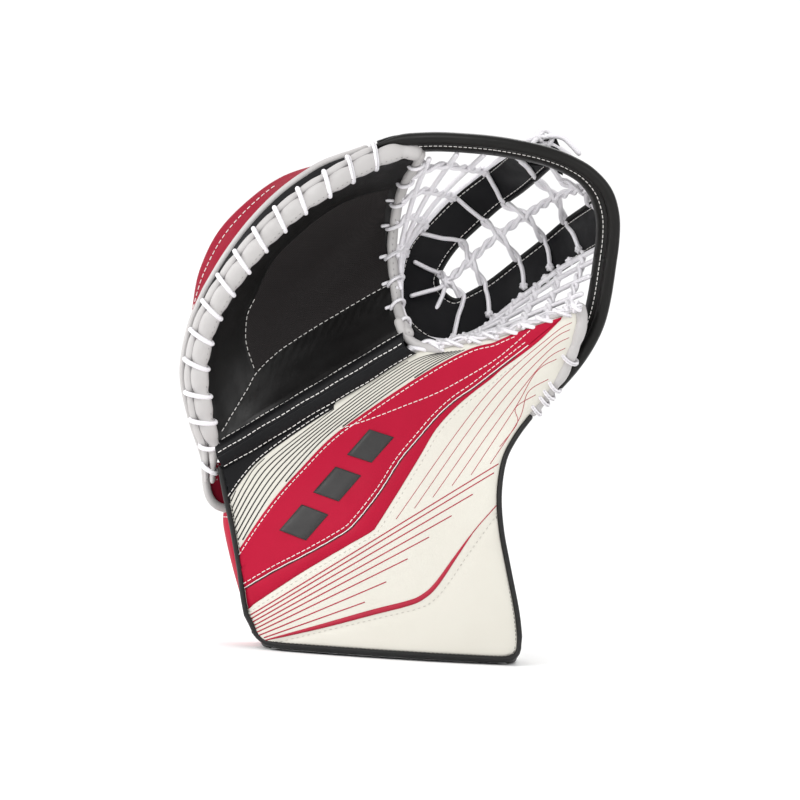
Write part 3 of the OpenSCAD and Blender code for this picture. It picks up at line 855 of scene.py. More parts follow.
def build_cuff_graphics(skin):
    """The red leaf, its band and the black corner, cut from thin hide, with their seams."""
    for name, upper, lower, lift, thick, across, material, slot in (
            ("cuff_red_panel", LEAF_TOP, LEAF_LOW, 0.1, 0.9, 16, RED, "red_leather"),
            ("cuff_red_band", LEAF_LOW, BAND_LOW, 0.05, 0.35, 8, RED, "red_leather"),
            ("cuff_black_corner", CORNER_TOP, CORNER_LOW, 0.1, 0.7, 8, BLACK_HIDE, "black_leather")):
        Bundle(panel_parts(skin, upper, lower, lift, thick, across)).make(name, material, "cuff", slot)
    build_black_lines(skin)
    build_red_lines(skin)
    build_bars(skin)
    seams = Bundle()
    for path, lift in ((shift(LEAF_TOP[:-2], -2.2), 1.05), (shift(LEAF_LOW[:-2], 3.0), 1.05),
                       (LEAF_SEAM, 1.05), (shift(CORNER_LOW, 1.6), 0.85)):
        seams.add(stitch_parts(lay(skin, path, lift, 0.8), 2.4, 1.4, 0.3))
    seams.add(tube_parts(lay(skin, LEAF_LOW[:-2], 0.75, 2), 0.34, 6))
    seams.make("cuff_white_stitches", THREAD, "cuff", "white_lace")
    quiet = [lay(skin, path, 0.08, 0.8) for path in (shift(BAND_LOW[:-2], -3.0), STRIPE_SEAM)]
    sew("cuff_cream_stitches", quiet, 1.6, 2.2, 0.26, "cuff", CREAM_THREAD, "cream_leather")


def build_black_lines(skin):
    """The black lines above the leaf. They leave it one after another and run up to the break. A thin black
    line just under the leaf's white lower edge line is a painted shadow.
    """
    lines = Bundle()
    for k in range(-5, 9):
        path = []
        for i in range(41):
            s = i / 40
            t = 0.05 + k * LINE_STEP + 0.5 * s
            if 0.06 < t < 0.97:
                foot = at(flat3(LEAF_TOP), 0.03 + s * 0.58)
                path.append(foot + (at(flat3(LINES_TOP), s) - foot) * t)
        if len(path) > 4:
            lines.add(ribbon_parts(skin, flat2(path), 0.95, PRINT_LIFT, 0.45))
    # Painted shadow: a thin black line just under the white line along the leaf's lower edge
    lines.add(tube_parts(lay(skin, shift(LEAF_LOW[:-3], -0.9), 0.45, 2), 0.3, 6))
    lines.make("cuff_black_lines_and_shadow", BLACK_PRINT_AND_SHADOW, "cuff", "black_binding")


def build_red_lines(skin):
    """The red fan from the heel, the thin lines up the thumb and the broad stripe near the hem."""
    lines = Bundle()
    for k, end in enumerate(FAN_TO):
        start = mix(*FAN_FROM, k / (len(FAN_TO) - 1))
        lines.add(ribbon_parts(skin, [start, mix(start, end), end], 0.9, PRINT_LIFT, 0.2))
    for k, (start, end) in enumerate(zip(THUMB_FROM, THUMB_TO)):
        x, z = mix(start, end)
        bow = (x, z + 17 * (1 - k / 5.5))
        lines.add(ribbon_parts(skin, [start, bow, (end[0] - 13.5, end[1] - 10), end], 0.42, PRINT_LIFT))
    lines.add(ribbon_parts(skin, STRIPE, lambda s: 0.6 + 3.2 * math.sin(math.pi * min(1, s * 1.15)) ** 0.8,
                           0.3))
    lines.make("cuff_red_lines", RED_PRINT, "cuff", "red_leather")


def build_bars(skin):
    """Three plain slanted bars, as a pattern with no meaning."""
    bars = Bundle()
    start, end = Vector((-72, 0, 78)), Vector((-12, 0, 157))
    way = (end - start).normalized()
    side = Vector((way.z, 0, -way.x))
    length, lean = 24.0, 7.0
    for k in range(3):
        foot = start + (end - start) * (0.36 * k)
        half = side * ((19.0 - k) / 2)
        upper = [foot - half, foot - half + way * length]
        lower = [foot + half + way * lean, foot + half + way * (length + lean)]
        bars.add(panel_parts(skin, flat2(upper), flat2(lower), 0.95, 0.9, 6, 10))
    bars.make("cuff_emblem_bars", EMBLEM, "cuff", "board")


def build_cuff_edges():
    """The black rolled binding round the cuff's face and the hem on the floor."""
    left = [p for p in curve(CUFF_LEFT, 40) if p.z > 22]
    right = [p for p in curve(CUFF_RIGHT, 70) if 16 < p.z < 176]
    bottom = [p for p in curve(CUFF_BOTTOM, 80) if -75 < p.x < 82]
    round_left = [Vector(q) for q in ((-93.4, 15.5, 16.5), (-89.6, 15, 9.4), (-83.6, 13, 5), (-80, 11, 3.8))]
    round_right = [Vector(q) for q in ((86, 12, 3.6), (90, 13.5, 5.5), (92.5, 15, 9.5), (92.5, 16, 15))]
    path = outset(left, 1.6, 2)[::-1] + [p + BACK * 1.5 + Vector((-1.4, 0, 0)) for p in round_left]
    path += [Vector((p.x, p.y + 1.5, 3.3)) for p in bottom]
    path += [p + BACK * 1.5 + Vector((1.4, 0, 0)) for p in round_right]
    path = evenly(path + outset(right, -1.6, 2), 3)
    Bundle(tube_parts(path, 2.1, 14, 4.4)).make("cuff_edge_binding", BINDING_BLACK, "cuff", "black_binding",
                                                ["cuff_binding_left", "cuff_binding_right"])
    hem = Bundle()
    for side, more in ((-1, -6), (1, 0)):
        line = curve([(side * (x + more), y, HEM_R) for x, y in HEM_END], 24)
        hem.add(tube_parts(evenly(line, 3), HEM_R))
    line = [Vector((p.x * 1.02, p.y + CUFF_BACK + 0.5, HEM_R)) for p in bottom]
    hem.add(tube_parts(evenly(line, 3), HEM_R))
    hem.make("cuff_hem_roll", BINDING_BLACK, "cuff", "black_binding", ["cuff_hem"])
    sew("cuff_binding_stitches", [outset(path, 2.4, -2.6)], 1.6, 1.6, 0.25, "cuff", BLACK_THREAD,
        "black_binding")


# ---------------------------------------------------------------- wings and wrist opening

WING_LEFT_LOW = [(-86, 34, 5.4), (-88, 48, 5.4), (-87, 63, 5.4), (-83, 75, 5.4), (-72, 80, 5.4)]
WING_LEFT_TOP = [(-116, 43, 94), (-120, 54, 94), (-118, 68, 93), (-110, 79, 92), (-96, 84, 90)]
WING_RIGHT_LOW = [(72, 80, 5.4), (84, 75, 5.4), (88, 63, 5.4), (88, 48, 5.4), (86, 34, 5.4)]
WING_RIGHT_TOP = [(50, 84, 106), (62, 80, 110), (68, 69, 114), (70, 57, 116), (67, 45, 118)]


def build_wing(name, low, top, material, slot, replaces):
    """A padded side wing: its outer leather, its lining, a rolled black edge and a row of stitches."""
    grid = Patch(low, top, [low[0], top[0]], [low[-1], top[-1]]).grid(56, 44)
    away = (grid[22][28] - Vector((-10, 45, 50))).dot(normals_of(grid)[22][28])
    out = 1 if away > 0 else -1

    def swell(u, v):
        return 4.5 * math.sin(math.pi * v) ** 0.8 * math.sin(math.pi * u) ** 0.7

    face = along_normal(grid, lambda u, v: out * (1.2 + swell(u, v) + 2.0 * min(1, hump(u, v) * 2.4) ** 0.5))
    middle = along_normal(grid, lambda u, v: out * (swell(u, v) - 1.5))
    inner = along_normal(
        grid, lambda u, v: out * (swell(u, v) - 2.6 - 1.4 * min(1, hump(u, v) * 2.4) ** 0.5))
    hide = make(name + "_hide", slab_parts(face, middle), material, "cuff", slot, replaces)
    make(name + "_lining", slab_parts(middle, inner), LINING, "cuff", "lining")
    edge = [row[0] for row in middle] + middle[-1][1:-1] + [row[-1] for row in reversed(middle)]
    roll = Bundle(tube_parts(evenly(edge, 3), 2.3, 12, 3.2))
    roll.make(name + "_edge", BINDING_BLACK, "cuff", "black_binding")
    inset = 3
    lifted = along_normal(face, out * 0.25)[:-inset]
    line = [row[inset] for row in lifted[:-1]] + lifted[-1][inset:-inset - 1]
    line += [row[-inset - 1] for row in lifted[::-1]]
    sew(name + "_stitches", [line], 2.3, 1.6, 0.28)
    return tree_of(hide)


# ---------------------------------------------------------------- palm and fingers

PALM_SEAM = [(-109, 246), (-113, 236), (-114, 226), (-113, 214), (-108, 201), (-105, 194)]
PALM_ARC = [
    (-125, 151), (-117, 167), (-110, 181), (-104, 194), (-92, 208), (-80, 218), (-64, 230), (-45, 243),
    (-27, 255), (-9, 266)
]
CLOTH_LEFT = [(-105, 194), (-113, 214), (-114, 230), (-109, 246)]
CLOTH_TOP = [(-109, 246), (-97, 273), (-76, 297), (-56, 314), (-36, 325), (-18, 331)]
CLOTH_LOW = [(-105, 194), (-92, 208), (-80, 218), (-64, 230), (-45, 243), (-27, 255), (-12, 265)]
CLOTH_RIGHT = [(-12, 265), (-18, 290), (-20, 312), (-18, 331)]


def build_palm():
    """The dished palm: its hide with seams and creases, its cloth panel, foam and lining."""
    nu, nv = 110, 130
    base = palm.grid(nu, nv)
    seams = [curve(flat3(c), 60) for c in (PALM_SEAM, PALM_ARC, CLOTH_TOP)]
    flat = [[Vector((p.x, 0, p.z)) for p in row] for row in base]
    near, arc = grid_distances(flat, seams), grid_distances(flat, seams[1:2])
    normals = normals_of(base)
    face = []
    for j, row in enumerate(base):
        out = []
        for i, p in enumerate(row):
            d, a = near[j][i], arc[j][i]
            swell = 1.5 * (1 - bell(d, 7)) - 0.5 * bell(d, 1.3)
            pucker = 0.22 * math.sin(a * 0.4 + p.x * 0.9 + 2 * noise.noise(p * 0.06)) * math.exp(-a / 7)
            crease = 1.3 * noise.noise(Vector((p.x * 0.03, p.y * 0.03, p.z * 0.045)))
            edge = min(1.0, min(i, nu - i, j, nv - j) / 5)
            out.append(p + normals[j][i] * ((swell + pucker + crease * 0.6) * edge))
        face.append(out)
    make("palm_hide", slab_parts(face, behind(base, LEATHER_T)), PALM_HIDE, "fingers", "black_leather",
         ["palm_leather"])
    layer("palm_foam_pad", palm, 2.4, 7.0, FOAM, "fingers", "foam", ["palm_foam"], 44, 0.01)
    layer("palm_lining", palm, 9.6, 1.2, LINING, "fingers", "lining", ["palm_liner"], 60)
    skin = Skin(face)
    cloth = Patch(*(flat3(edge) for edge in (CLOTH_LOW, CLOTH_TOP, CLOTH_LEFT, CLOTH_RIGHT))).grid(60, 60)
    front, rear = ([[skin.drop(p.x, p.z, lift) for p in row] for row in cloth] for lift in (0.35, -0.5))
    make("palm_cloth_panel", slab_parts(front, rear), PALM_CLOTH, "fingers", "black_leather")
    sew("palm_stitches", [lay(skin, path, 0.5, 0.8) for path in (PALM_SEAM, PALM_ARC)], 2.7, 1.6, 0.29,
        "fingers")


# The break: its roll, its length, and for each half its bodies, where it bends and its seams' rows
BREAK_R = 7.2
BREAK_LENGTH = 154
BREAK_SIDES = {
    "cuff_side": (("cuff", "tee"), (-9, 0), (4,)),
    "palm_side": (("tee", "fingers"), (0, 9), (1, 10)),
}


def build_break():
    """The black hide over the fold, in two halves: one from the cuff's top edge and one from the palm's
    break.
    """
    cuff_side = evenly([p - UP + BACK * 0.4 for p in curve(CUFF_TOP, 60) if p.x <= 10], 2)
    palm_side = evenly([p + UP * 1.5 + BACK * 0.8 for p in curve(PALM_BREAK, 60)], 2)
    across, along = 12, 80
    halves = []
    for edge in (cuff_side, palm_side):
        edge = [tuple(p) for p in edge[::6] + [edge[-1]]]
        rows = []
        for j in range(across + 1):
            t = j / across
            angle = math.pi / 2 * t
            row = []
            for i in range(along + 1):
                crest = FOLD_FROM - ALONG + ALONG * (BREAK_LENGTH * (i / along))
                start = at(edge, i / along)
                reach = (start - crest).dot(UP)
                depth = start.y - (crest.y - BREAK_R)
                foot = crest + ALONG * ((start - crest).dot(ALONG) * (1 - t))
                p = foot + UP * (reach * math.cos(angle)) + BACK * (-BREAK_R + depth * (1 - math.sin(angle)))
                row.append(p + BACK * (0.25 * math.sin(i * 0.5 + j)) * t * (1 - t))
            rows.append(row)
        halves.append(rows)
    for (name, (bodies, ups, _)), rows in zip(BREAK_SIDES.items(), halves):
        piece = make("break_hide_" + name, sheet_parts(rows, 1.4), BLACK_HIDE, None, "black_leather")
        blend(piece, *bodies, *(FOLD_FROM + UP * up for up in ups))
    for (name, (bodies, ups, seams)), rows in zip(BREAK_SIDES.items(), halves):
        lines = [[p - BACK * 0.25 + Vector((0, 0, 0.25 * math.sin(i * 0.4))) for i, p in enumerate(rows[j])]
                 for j in seams]
        piece = sew("break_stitches_" + name, [line[1:-1] for line in lines], 2.3, 1.5, 0.3, None)
        blend(piece, *bodies, *(FOLD_FROM + UP * up for up in ups))


LACE_STEP = 20.3
PIPING_FOOT = [
    (-119, 50, 95), (-126.6, 48, 97.4), (-132, 46, 103), (-134.6, 45, 111), (-136, 43, 120),
    (-137.6, 40, 132)
]
# The gusset's folds from the palm's edge to the pad's: shares of the piping's reach, and depths
GUSSET_FOLDS = ((0.14, 11.0), (0.4, 6.4), (0.7, 6.6), (0.9, 9.6), (0.96, 15.0), (0.86, 20.0), (0.62, 23.0))


def scalloped(radius, count, pinch=0.16):
    """A roll's radius along its length, drawn in where each lace loop holds it."""
    def size(s):
        return radius * (1 + pinch * 0.25 - pinch * bell(abs((s * count) % 1.0 - 0.5), 0.2))
    return size


def piping_reach(s):
    """How far the pad's piping stands out from the palm's edge, along the finger edge from the heel."""
    return 11.0 + 3.8 * ramp(s, 0.05, 0.3) + 4.6 * ramp(s, 0.35, 0.8) - 6.0 * ramp(s, 0.86, 1.0)


def from_heel(p):
    """Grows from 0 at the heel to 1 up the finger edge."""
    return ramp(p.z, 112, 165)


def build_finger_edge():
    """Round the palm to the pocket: two white rolls, their lace loops, the pad's piping and the gusset."""
    path = evenly(perimeter, 1.5)
    double = [p for p in path if not (p.x > -26 and p.z > 340)]
    inner = outset(path, lambda p: 0.9 + 1.3 * from_heel(p), -1)
    outer = outset(double, lambda p: 5.6 + 3.8 * from_heel(p), 1.8)
    count = round(length_of(path) / LACE_STEP)
    outer_count = count * (length_of(double) / length_of(path))
    wide, narrow = scalloped(6.2, count, 0.22), scalloped(3.6, outer_count, 0.2)
    rolls = Bundle(
        tube_parts(inner, lambda s: wide(s) * (0.3 + 0.7 * ramp(s, 0, 0.16)), 22,
                   scalloped(4.0, count, 0.3)),
        tube_parts(outer, lambda s: narrow(s) * (0.4 + 0.6 * ramp(s, 0, 0.1)), 18,
                   scalloped(3.6, outer_count, 0.3)))
    rolls.make("finger_edge_rolls", WHITE_HIDE, "fingers", "white_binding", ["palm_binding", "pad_binding"])
    loops = Bundle()
    line = outset(path, lambda p: 3.4 + 1.2 * from_heel(p), 0.4)
    for k in range(count):
        i = int((k + 0.5) / count * (len(path) - 1))
        if line[i].x <= -20 or line[i].z <= 340:
            reach = 8.6 * (0.55 + 0.45 * ramp(line[i].z, 112, 160))
            loops.add(loop_round(line, i, reach, 5.0, 1.7, 2.9, 10, 28))
    loops.make("finger_edge_laces", LACE, "fingers", "white_lace", ["perimeter_lace"])
    Bundle(stitch_parts(outset(path, -2.4, -4.0), 1.2, 3.0, 0.24, 0.5)).make(
        "finger_edge_stitches", GREY_THREAD, "fingers", "black_binding")
    seam = outset(double, lambda p: 4.4 + 3.9 * from_heel(p), -2.0)
    Bundle(tube_parts(seam, 0.4, 8)).make("finger_edge_seam", GREY_THREAD, "fingers", "black_binding")
    reach = [piping_reach(i / (len(double) - 1)) for i in range(len(double))]
    sides = [sideways(direction(double, i)) for i in range(len(double))]
    piping = [double[i] + sides[i] * reach[i] + BACK * 14 for i in range(0, len(double), 4)]
    cord = evenly(curve(PIPING_FOOT + [tuple(q) for q in piping if q.z > 146], 220), 2)
    tube("pad_piping_cord", cord, lambda s: 3.0 - 0.4 * ramp(s, 0.02, 0.22), WHITE_HIDE, "fingers",
         "white_piping", ["pad_piping"])
    rows = [[double[i] + sides[i] * (reach[i] * share) + BACK * dy for i in range(33, len(double), 3)]
            for share, dy in GUSSET_FOLDS]
    make("finger_side_gusset", sheet_parts(rows, 1.2), BLACK_HIDE, "fingers", "black_leather",
         ["side_gusset"])
    build_side_panel(cord)


def build_side_panel(cord):
    """The red hide round the side of the finger pad, from its piping to its edge, in red darkened as painted
    shade, with a row of stitches.
    """
    outline = [(0.0, k / 120) for k in range(120)] + [(k / 160, 1.0) for k in range(161)]
    outline = [(pad(u, v), u, v) for u, v in outline]
    feet = evenly(cord, 3)
    columns = []
    for i, foot in enumerate(feet):
        head, u, v = min(outline, key=lambda q: (q[0] - foot).length)
        tucks = [pad(*soft_corners(max(u, inset), min(max(v, 0.03), 1 - inset))) + BACK * deep
                 for inset, deep in ((0.045, 2.0), (0.11, 3.5))]
        side = sideways(direction(feet, i))
        full = ramp(i / len(feet), 0.2, 0.4)
        points = [foot + side * (0.5 * full) + BACK, foot * 0.6 + head * 0.4 + side * (1.2 * full - 0.6),
                  foot * 0.25 + head * 0.75 + side * (1.4 * full - 0.8),
                  head + side * (0.6 * full - 0.5) - BACK]
        columns.append(([tuple(p) for p in points + tucks], side))
    face = [[at(points, j / 12) for points, side in columns] for j in range(13)]
    back = [[at(points, j / 12) + (BACK - side) * 0.9 for points, side in columns] for j in range(13)]
    # The heel web, in the same red darkened as painted shade
    heel = Patch([(-117, 52, 97), (-125, 51, 98.5), (-133, 49, 105)],
                 [(-116, 47, 126), (-124, 47, 128), (-132, 46, 128)],
                 [(-117, 52, 97), (-116, 47, 126)], [(-133, 49, 105), (-132, 46, 128)])
    Bundle(slab_parts(face, back), sheet_parts(heel.grid(12, 12), 1.2)).make(
        "finger_side_panel", RED_SHADED, "fingers", "red_leather")
    first, last = int(0.36 * len(columns)), int(0.8 * len(columns))
    line = [at(points, 0.3) + (side - BACK) * 0.3 for points, side in columns[first:last]]
    sew("finger_side_stitches", [line], 2.6, 1.8, 0.34, "fingers")


def soft_corners(u, v, r=0.36):
    """Maps the unit square to one with round corners."""
    a, b = 2 * u - 1, 2 * v - 1
    x, y = (abs(a) - 1 + r) / r, (abs(b) - 1 + r) / r
    if x > 0 and y > 0:
        a = math.copysign(1 - r + r * x * math.sqrt(1 - y * y / 2), a)
        b = math.copysign(1 - r + r * y * math.sqrt(1 - x * x / 2), b)
    return (a + 1) / 2, (b + 1) / 2


def build_finger_pad():
    """The padded cover over the backs of the fingers, puffed by simulation and then seamed."""
    n = 44
    front = [[pad(*soft_corners(0.02 + 0.96 * i / n, 0.02 + 0.96 * j / n)) for i in range(n + 1)]
             for j in range(n + 1)]
    rear = shifted(front, lambda p, u, v: BACK * (5.5 + 13.0 * math.sqrt(max(0, hump(u, v)))))
    piece = make("finger_pad", slab_parts(front, rear), RED, None, "red_leather")
    puff(piece, 4.0, 5.0, [curve(edge, 40) for edge in (PAD_LOW, PAD_TOP, PAD_LEFT, PAD_POCKET)])
    skin = tree_of(piece)
    lines = [[pad(0.07, v / 60) for v in range(8, 56)] + [pad(u / 60, 0.93) for u in range(6, 57)]]
    lines += [[pad(u, v / 60) for v in range(6, 54)] for u in (0.36, 0.62)]
    lines = [[touch(skin, p + BACK * 60) for p in line] for line in lines]
    groove(piece, lines, 2.6, 1.5)
    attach(piece, "fingers")
    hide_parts("pad_cover", "pad_foam")
    skin = tree_of(piece)
    sewn = [[touch(skin, p + BACK * 30) + BACK * 0.3 for p in line] for line in lines]
    sew("finger_pad_stitches", sewn, 2.6, 1.6, 0.34, "fingers")
    low, high = [], []
    for j in range(13):
        v = j / 12
        row = [touch(skin, pad(0.28 + 0.44 * (i / 24) + 0.05 * v, 0.40 + 0.16 * v) + BACK * 60)
               for i in range(25)]
        low.append([p - BACK * 0.8 for p in row])
        high.append([p + BACK * (0.9 if i in (0, 24) or j in (0, 12) else 1.6) for i, p in enumerate(row)])
    make("finger_pad_plate", slab_parts(low, high), EMBLEM, "fingers", "board")


def touch(tree, start):
    """The point in millimetres where a ray towards the front meets a piece, or the piece's nearest point."""
    hit = tree.ray_cast(start * MM, -BACK)[0]
    return (tree.find_nearest(start * MM)[0] if hit is None else hit) / MM


def puff(piece, pressure, cap, edges, frames=20):
    """Swells a closed piece as filled cloth held along its edges. No point moves further than cap, in mm."""
    bpy.context.view_layer.objects.active = piece
    before = [v.co.copy() for v in piece.data.vertices]
    free = [ramp(d, 2, 16) for d in distances([co / MM for co in before], edges)]
    held = piece.vertex_groups.new(name="held")
    for i, share in enumerate(free):
        held.add([i], 1 - share, "REPLACE")
    cloth = piece.modifiers.new("fill", "CLOTH")
    cloth.settings.vertex_group_mass = held.name
    cloth.settings.use_pressure = True
    cloth.settings.uniform_pressure_force = pressure
    cloth.settings.effector_weights.gravity = 0
    cloth.settings.quality = 5
    cloth.point_cache.frame_start, cloth.point_cache.frame_end = 1, frames
    for f in range(1, frames + 1):
        bpy.context.scene.frame_set(f)
    bpy.ops.object.modifier_apply(modifier=cloth.name)
    bpy.context.scene.frame_set(1)
    for v, was, share in zip(piece.data.vertices, before, free):
        move = (v.co - was) * share
        v.co = was + move * min(1.0, cap * MM / max(move.length, 1e-9))
    piece.vertex_groups.clear()
    smooth = piece.modifiers.new("smooth", "SMOOTH")
    smooth.factor, smooth.iterations = 0.5, 4
    finer = piece.modifiers.new("finer", "SUBSURF")
    finer.levels = finer.render_levels = 1
    for name in (smooth.name, finer.name):
        bpy.ops.object.modifier_apply(modifier=name)
    for polygon in piece.data.polygons:
        polygon.use_smooth = True


def groove(piece, lines, wide, deep):
    """Draws a padded piece in along its seams."""
    near = distances([v.co / MM for v in piece.data.vertices], lines)
    normals = [v.normal.copy() for v in piece.data.vertices]
    for v, d, n in zip(piece.data.vertices, near, normals):
        v.co -= n * (deep * bell(d, wide) * MM)
    piece.data.update()


def build_stalls():
    """Four finger stalls between the palm and the pad, and the thumb's."""
    for name, u, end in (("index", 0.8, 0.72), ("middle", 0.62, 0.72), ("ring", 0.44, 0.7),
                         ("little", 0.26, 0.68)):
        spots = [(u, 0.36 + (end - 0.36) * i / 20) for i in range(21)]
        path = evenly([(palm(*spot) + BACK * PALM_BACK + pad(*spot)) / 2 for spot in spots], 2.5)
        make("stall_sleeve_" + name, sleeve_parts(path, 10.2, 1.1), LINING, "fingers", "lining",
             ["stall_" + name])
    path = evenly(curve([(36, 66, 166), (52, 64, 180), (68, 60, 193), (82, 55, 204), (92, 50, 212)], 24),
                  2.5)
    make("thumb_sleeve", sleeve_parts(path, 12.3, 1.3), BLACK_HIDE, "cuff", "black_leather", ["thumb_stall"])


def sleeve_parts(path, outer, wall, sides=36):
    """A sewn sleeve: open at its start with a rolled mouth, and closed in a round tip."""
    frames = frames_along(path)
    rings = [(path[i], frames[i], outer * (1 + 0.03 * math.sin(i * 1.1)) * min(1.0, 0.93 + 0.023 * i))
             for i in range(len(path))]
    tip = direction(path, len(path) - 1)
    rings += [(path[-1] + tip * (1.2 * (1 - k)), frames[-1], outer * k) for k in (0.8, 0.5, 0.15)]
    inside = [(centre - tip * (wall if r < outer * 0.9 else 0), axes, max(r - wall, 0.3))
              for centre, axes, r in rings]
    rings = rings[::-1] + inside
    angles = [2 * math.pi * k / sides for k in range(sides)]
    points = [centre + a * (r * math.cos(turn)) + b * (r * math.sin(turn))
              for centre, (a, b), r in rings for turn in angles]
    return points, ring_faces(len(rings), sides)


# ---------------------------------------------------------------- pocket: rim, spine and net

# The rim's depth, its roll's radii and its layers' sections: places outwards, or shares of reach, and depths
RIM_DEEP = 15
RIM_ROLL = 4.7
RIM_R = 4.5
RIM_BAND = ((3.6, -11.5), (4.6, -6), (4.8, 2), (4.4, 9), (3.2, 14.6))
RIM_BAND_INNER = ((1.6, -10.8), (1.6, -4), (0.8, 4), (-0.4, 10), (-1.6, 14.2))
RIM_FLANGE = ((-0.05, -10.5), (0.4, -9.6), (0.7, -7.8), (0.9, -4.4), (1.0, 0.5))
RIM_LINING = ((1.0, 0.6), (0.88, 5), (0.65, 9.5), (0.33, 13.0), (0.0, 14.6))


def rim_reach(p):
    """How far the rim's inner flange reaches: less along the top than down the right side."""
    return 8.0 + 3.4 * ramp(-p.z, -356, -330)


def beside(line, stops, reach=None):
    """Lines beside the rim, one for each (off, dy): off is outwards, or inwards in shares of reach(point)."""
    if reach is None:
        return [outset(line, off, dy) for off, dy in stops]
    return [outset(line, lambda p, share=share: -share * reach(p), dy) for share, dy in stops]


def build_rim():
    """The rim: a black roll in front, a band going back from it, and an inner flange with stitches."""
    path = evenly(curve(RIM, 180), 2.5)
    parts = (
        ("upper", [p for p in path if p.x < 56 and p.z > 340], None,
         ("tee", "fingers", (46, 0, 360), (4, 0, 362))),
        ("top", [p for p in path if p.x > 53 and p.z > 288], "tee", None),
        ("lower", [p for p in path if p.z < 291 and p.x > 60], None,
         ("cuff", "tee", (126, 0, 218), (139, 0, 288))),
    )
    for name, line, body, bend in parts:
        grow = 24 / length_of(line)
        size = (lambda s: RIM_R * (0.5 + 0.5 * ramp(s, 0, grow))) if name == "upper" else RIM_R
        lining = beside(line, RIM_LINING, rim_reach)
        hide = Bundle(
            tube_parts(outset(line, 0.3, -RIM_DEEP + RIM_ROLL), size, 18, RIM_ROLL),
            slab_parts(beside(line, RIM_BAND), beside(line, RIM_BAND_INNER)),
            sheet_parts(beside(line, RIM_FLANGE, rim_reach), 1.6),
            slab_parts(lining, [outset(row, 1.4) for row in lining]))
        pieces = [hide.make("rim_" + name + "_hide", RIM_HIDE, body, "black_rim", ["rim_" + name])]
        sewn = Bundle(stitch_parts(outset(line, lambda p: -0.62 * rim_reach(p), -9.0), 2.1, 1.5, 0.29),
                      stitch_parts(outset(line, 4.6, 11.0), 2.1, 1.5, 0.27))
        pieces.append(sewn.make("rim_" + name + "_stitches", THREAD, body, "white_lace"))
        if bend:
            for piece in pieces:
                blend(piece, *bend)


def build_spine():
    """The U-shaped strip of hide between the nets, with its lining, bound edges and stitches."""
    count, across = 150, 10
    outer, inner = curve(TEE_OUT, count), curve(TEE_IN, count)
    rows = [[a * (1 - j / across) + b * (j / across) for a, b in zip(outer, inner)]
            for j in range(across + 1)]
    face = []
    for j, row in enumerate(rows):
        f = j / across
        crown = 0.9 * min(1, min(f, 1 - f) / 0.12) ** 0.5 + 0.25 * math.sin(math.pi * f)
        face.append([p + BACK * (0.9 - crown) for p in row])
    make("spine_hide", slab_parts(face, behind(rows, 2.6)), BLACK_HIDE, "tee", "black_leather",
         ["tee_spine"])
    lining_back = [[p + BACK * (4.1 if 0 < j < across else 3.2) for p in row] for j, row in enumerate(rows)]
    make("spine_lining", slab_parts(behind(rows, 2.8), lining_back), LINING, "tee", "lining", ["tee_lining"])
    edges = Bundle(*(tube_parts([p + BACK * 1.7 for p in row], 1.5, 10, 2.3) for row in (rows[0], rows[-1])))
    edges.make("spine_edges", BINDING_BLACK, "tee", "black_binding")
    lines = [[p + (q - p).normalized() * 3.4 - BACK * 0.35 for p, q in zip(near, far)]
             for near, far in ((rows[0], rows[-1]), (rows[-1], rows[0]))]
    sew("spine_stitches", lines, 2.3, 1.7, 0.27, "tee")


STRAND = 1.9
CROSS_STRAND = 1.65
NET_FINGER = Patch(
    [(3, 22, 230), (1, 38, 234), (-3, 56, 243)], [(4, 14, 353), (24, 8, 358), (46, 8, 358), (67, 14, 360)],
    [(5, 22, 229), (-2, 36, 241), (-5, 46, 253), (-9, 54, 274), (-11, 56, 292), (-10, 53, 310),
     (-8, 44, 324), (-4, 31, 337), (2, 18, 350)],
    [(-3, 60, 243), (-7, 70, 260), (-6, 82, 279), (-1, 89, 296), (13, 92, 314), (30, 88, 333), (50, 71, 350),
     (67, 14, 360)],
    4)
NET_THUMB = Patch(
    [(13, 24, 220), (10, 42, 223), (14, 51, 227)],
    [(118, 2, 254), (125, 15, 269), (131, 22, 286), (135, 26, 301)],
    [(13, 24, 220), (26, 23, 222), (45, 21, 227), (68, 16, 233), (88, 8, 241), (108, 0, 249), (118, 2, 254)],
    [(14, 51, 227), (33, 56, 226), (56, 71, 237), (74, 83, 254), (93, 84, 271), (113, 72, 288),
     (135, 26, 301)], 4)


def on_patch(patch, stops, n=40, lift=0.0):
    """A smooth path over a net's surface, through (u, v) stops."""
    return [patch(p.x, p.z) - BACK * lift for p in curve(flat3(stops), n)]


def knot_parts(centre, size=2.6, strand=1.2, tilt=0):
    """A pulled knot: three tight turns of lace round each other."""
    out = Bundle()
    for k in range(3):
        a = tilt + k * math.pi / 3
        way = Vector((math.cos(a), 0.35 * (k - 1), math.sin(a)))
        side = Vector((-math.sin(a), 0.25, math.cos(a)))
        out.add(loop_parts(centre + BACK * (0.5 * (k - 1)), way, side, size * 0.85, size * 0.8, strand, 8,
                           18, 0.6))
    return out.parts()


def net_parts(net, runs, crosses, bends, samples, pitch, turn, knots, size, strand, tilt):
    """A side net: long runs through (u, v) stops, twisted laces across them and knots along the spine."""
    out = Bundle()
    for stops, lift in runs:
        out.add(tube_parts(on_patch(net, stops, 60, lift), STRAND, 10))
    for v_low, v_high in crosses:
        stops = [
            (0.0, v_low), (bends[0], v_low + 0.02), (bends[1], (v_low + v_high) / 2 + 0.02), (1.0, v_high)
        ]
        out.add(twisted_parts(on_patch(net, stops, samples, 0.3), 1.55, 1.6, pitch, v_low * turn))
    for v in knots:
        out.add(knot_parts(net(0.97, v) - BACK * 1.5, size, strand, v * tilt))
    return out


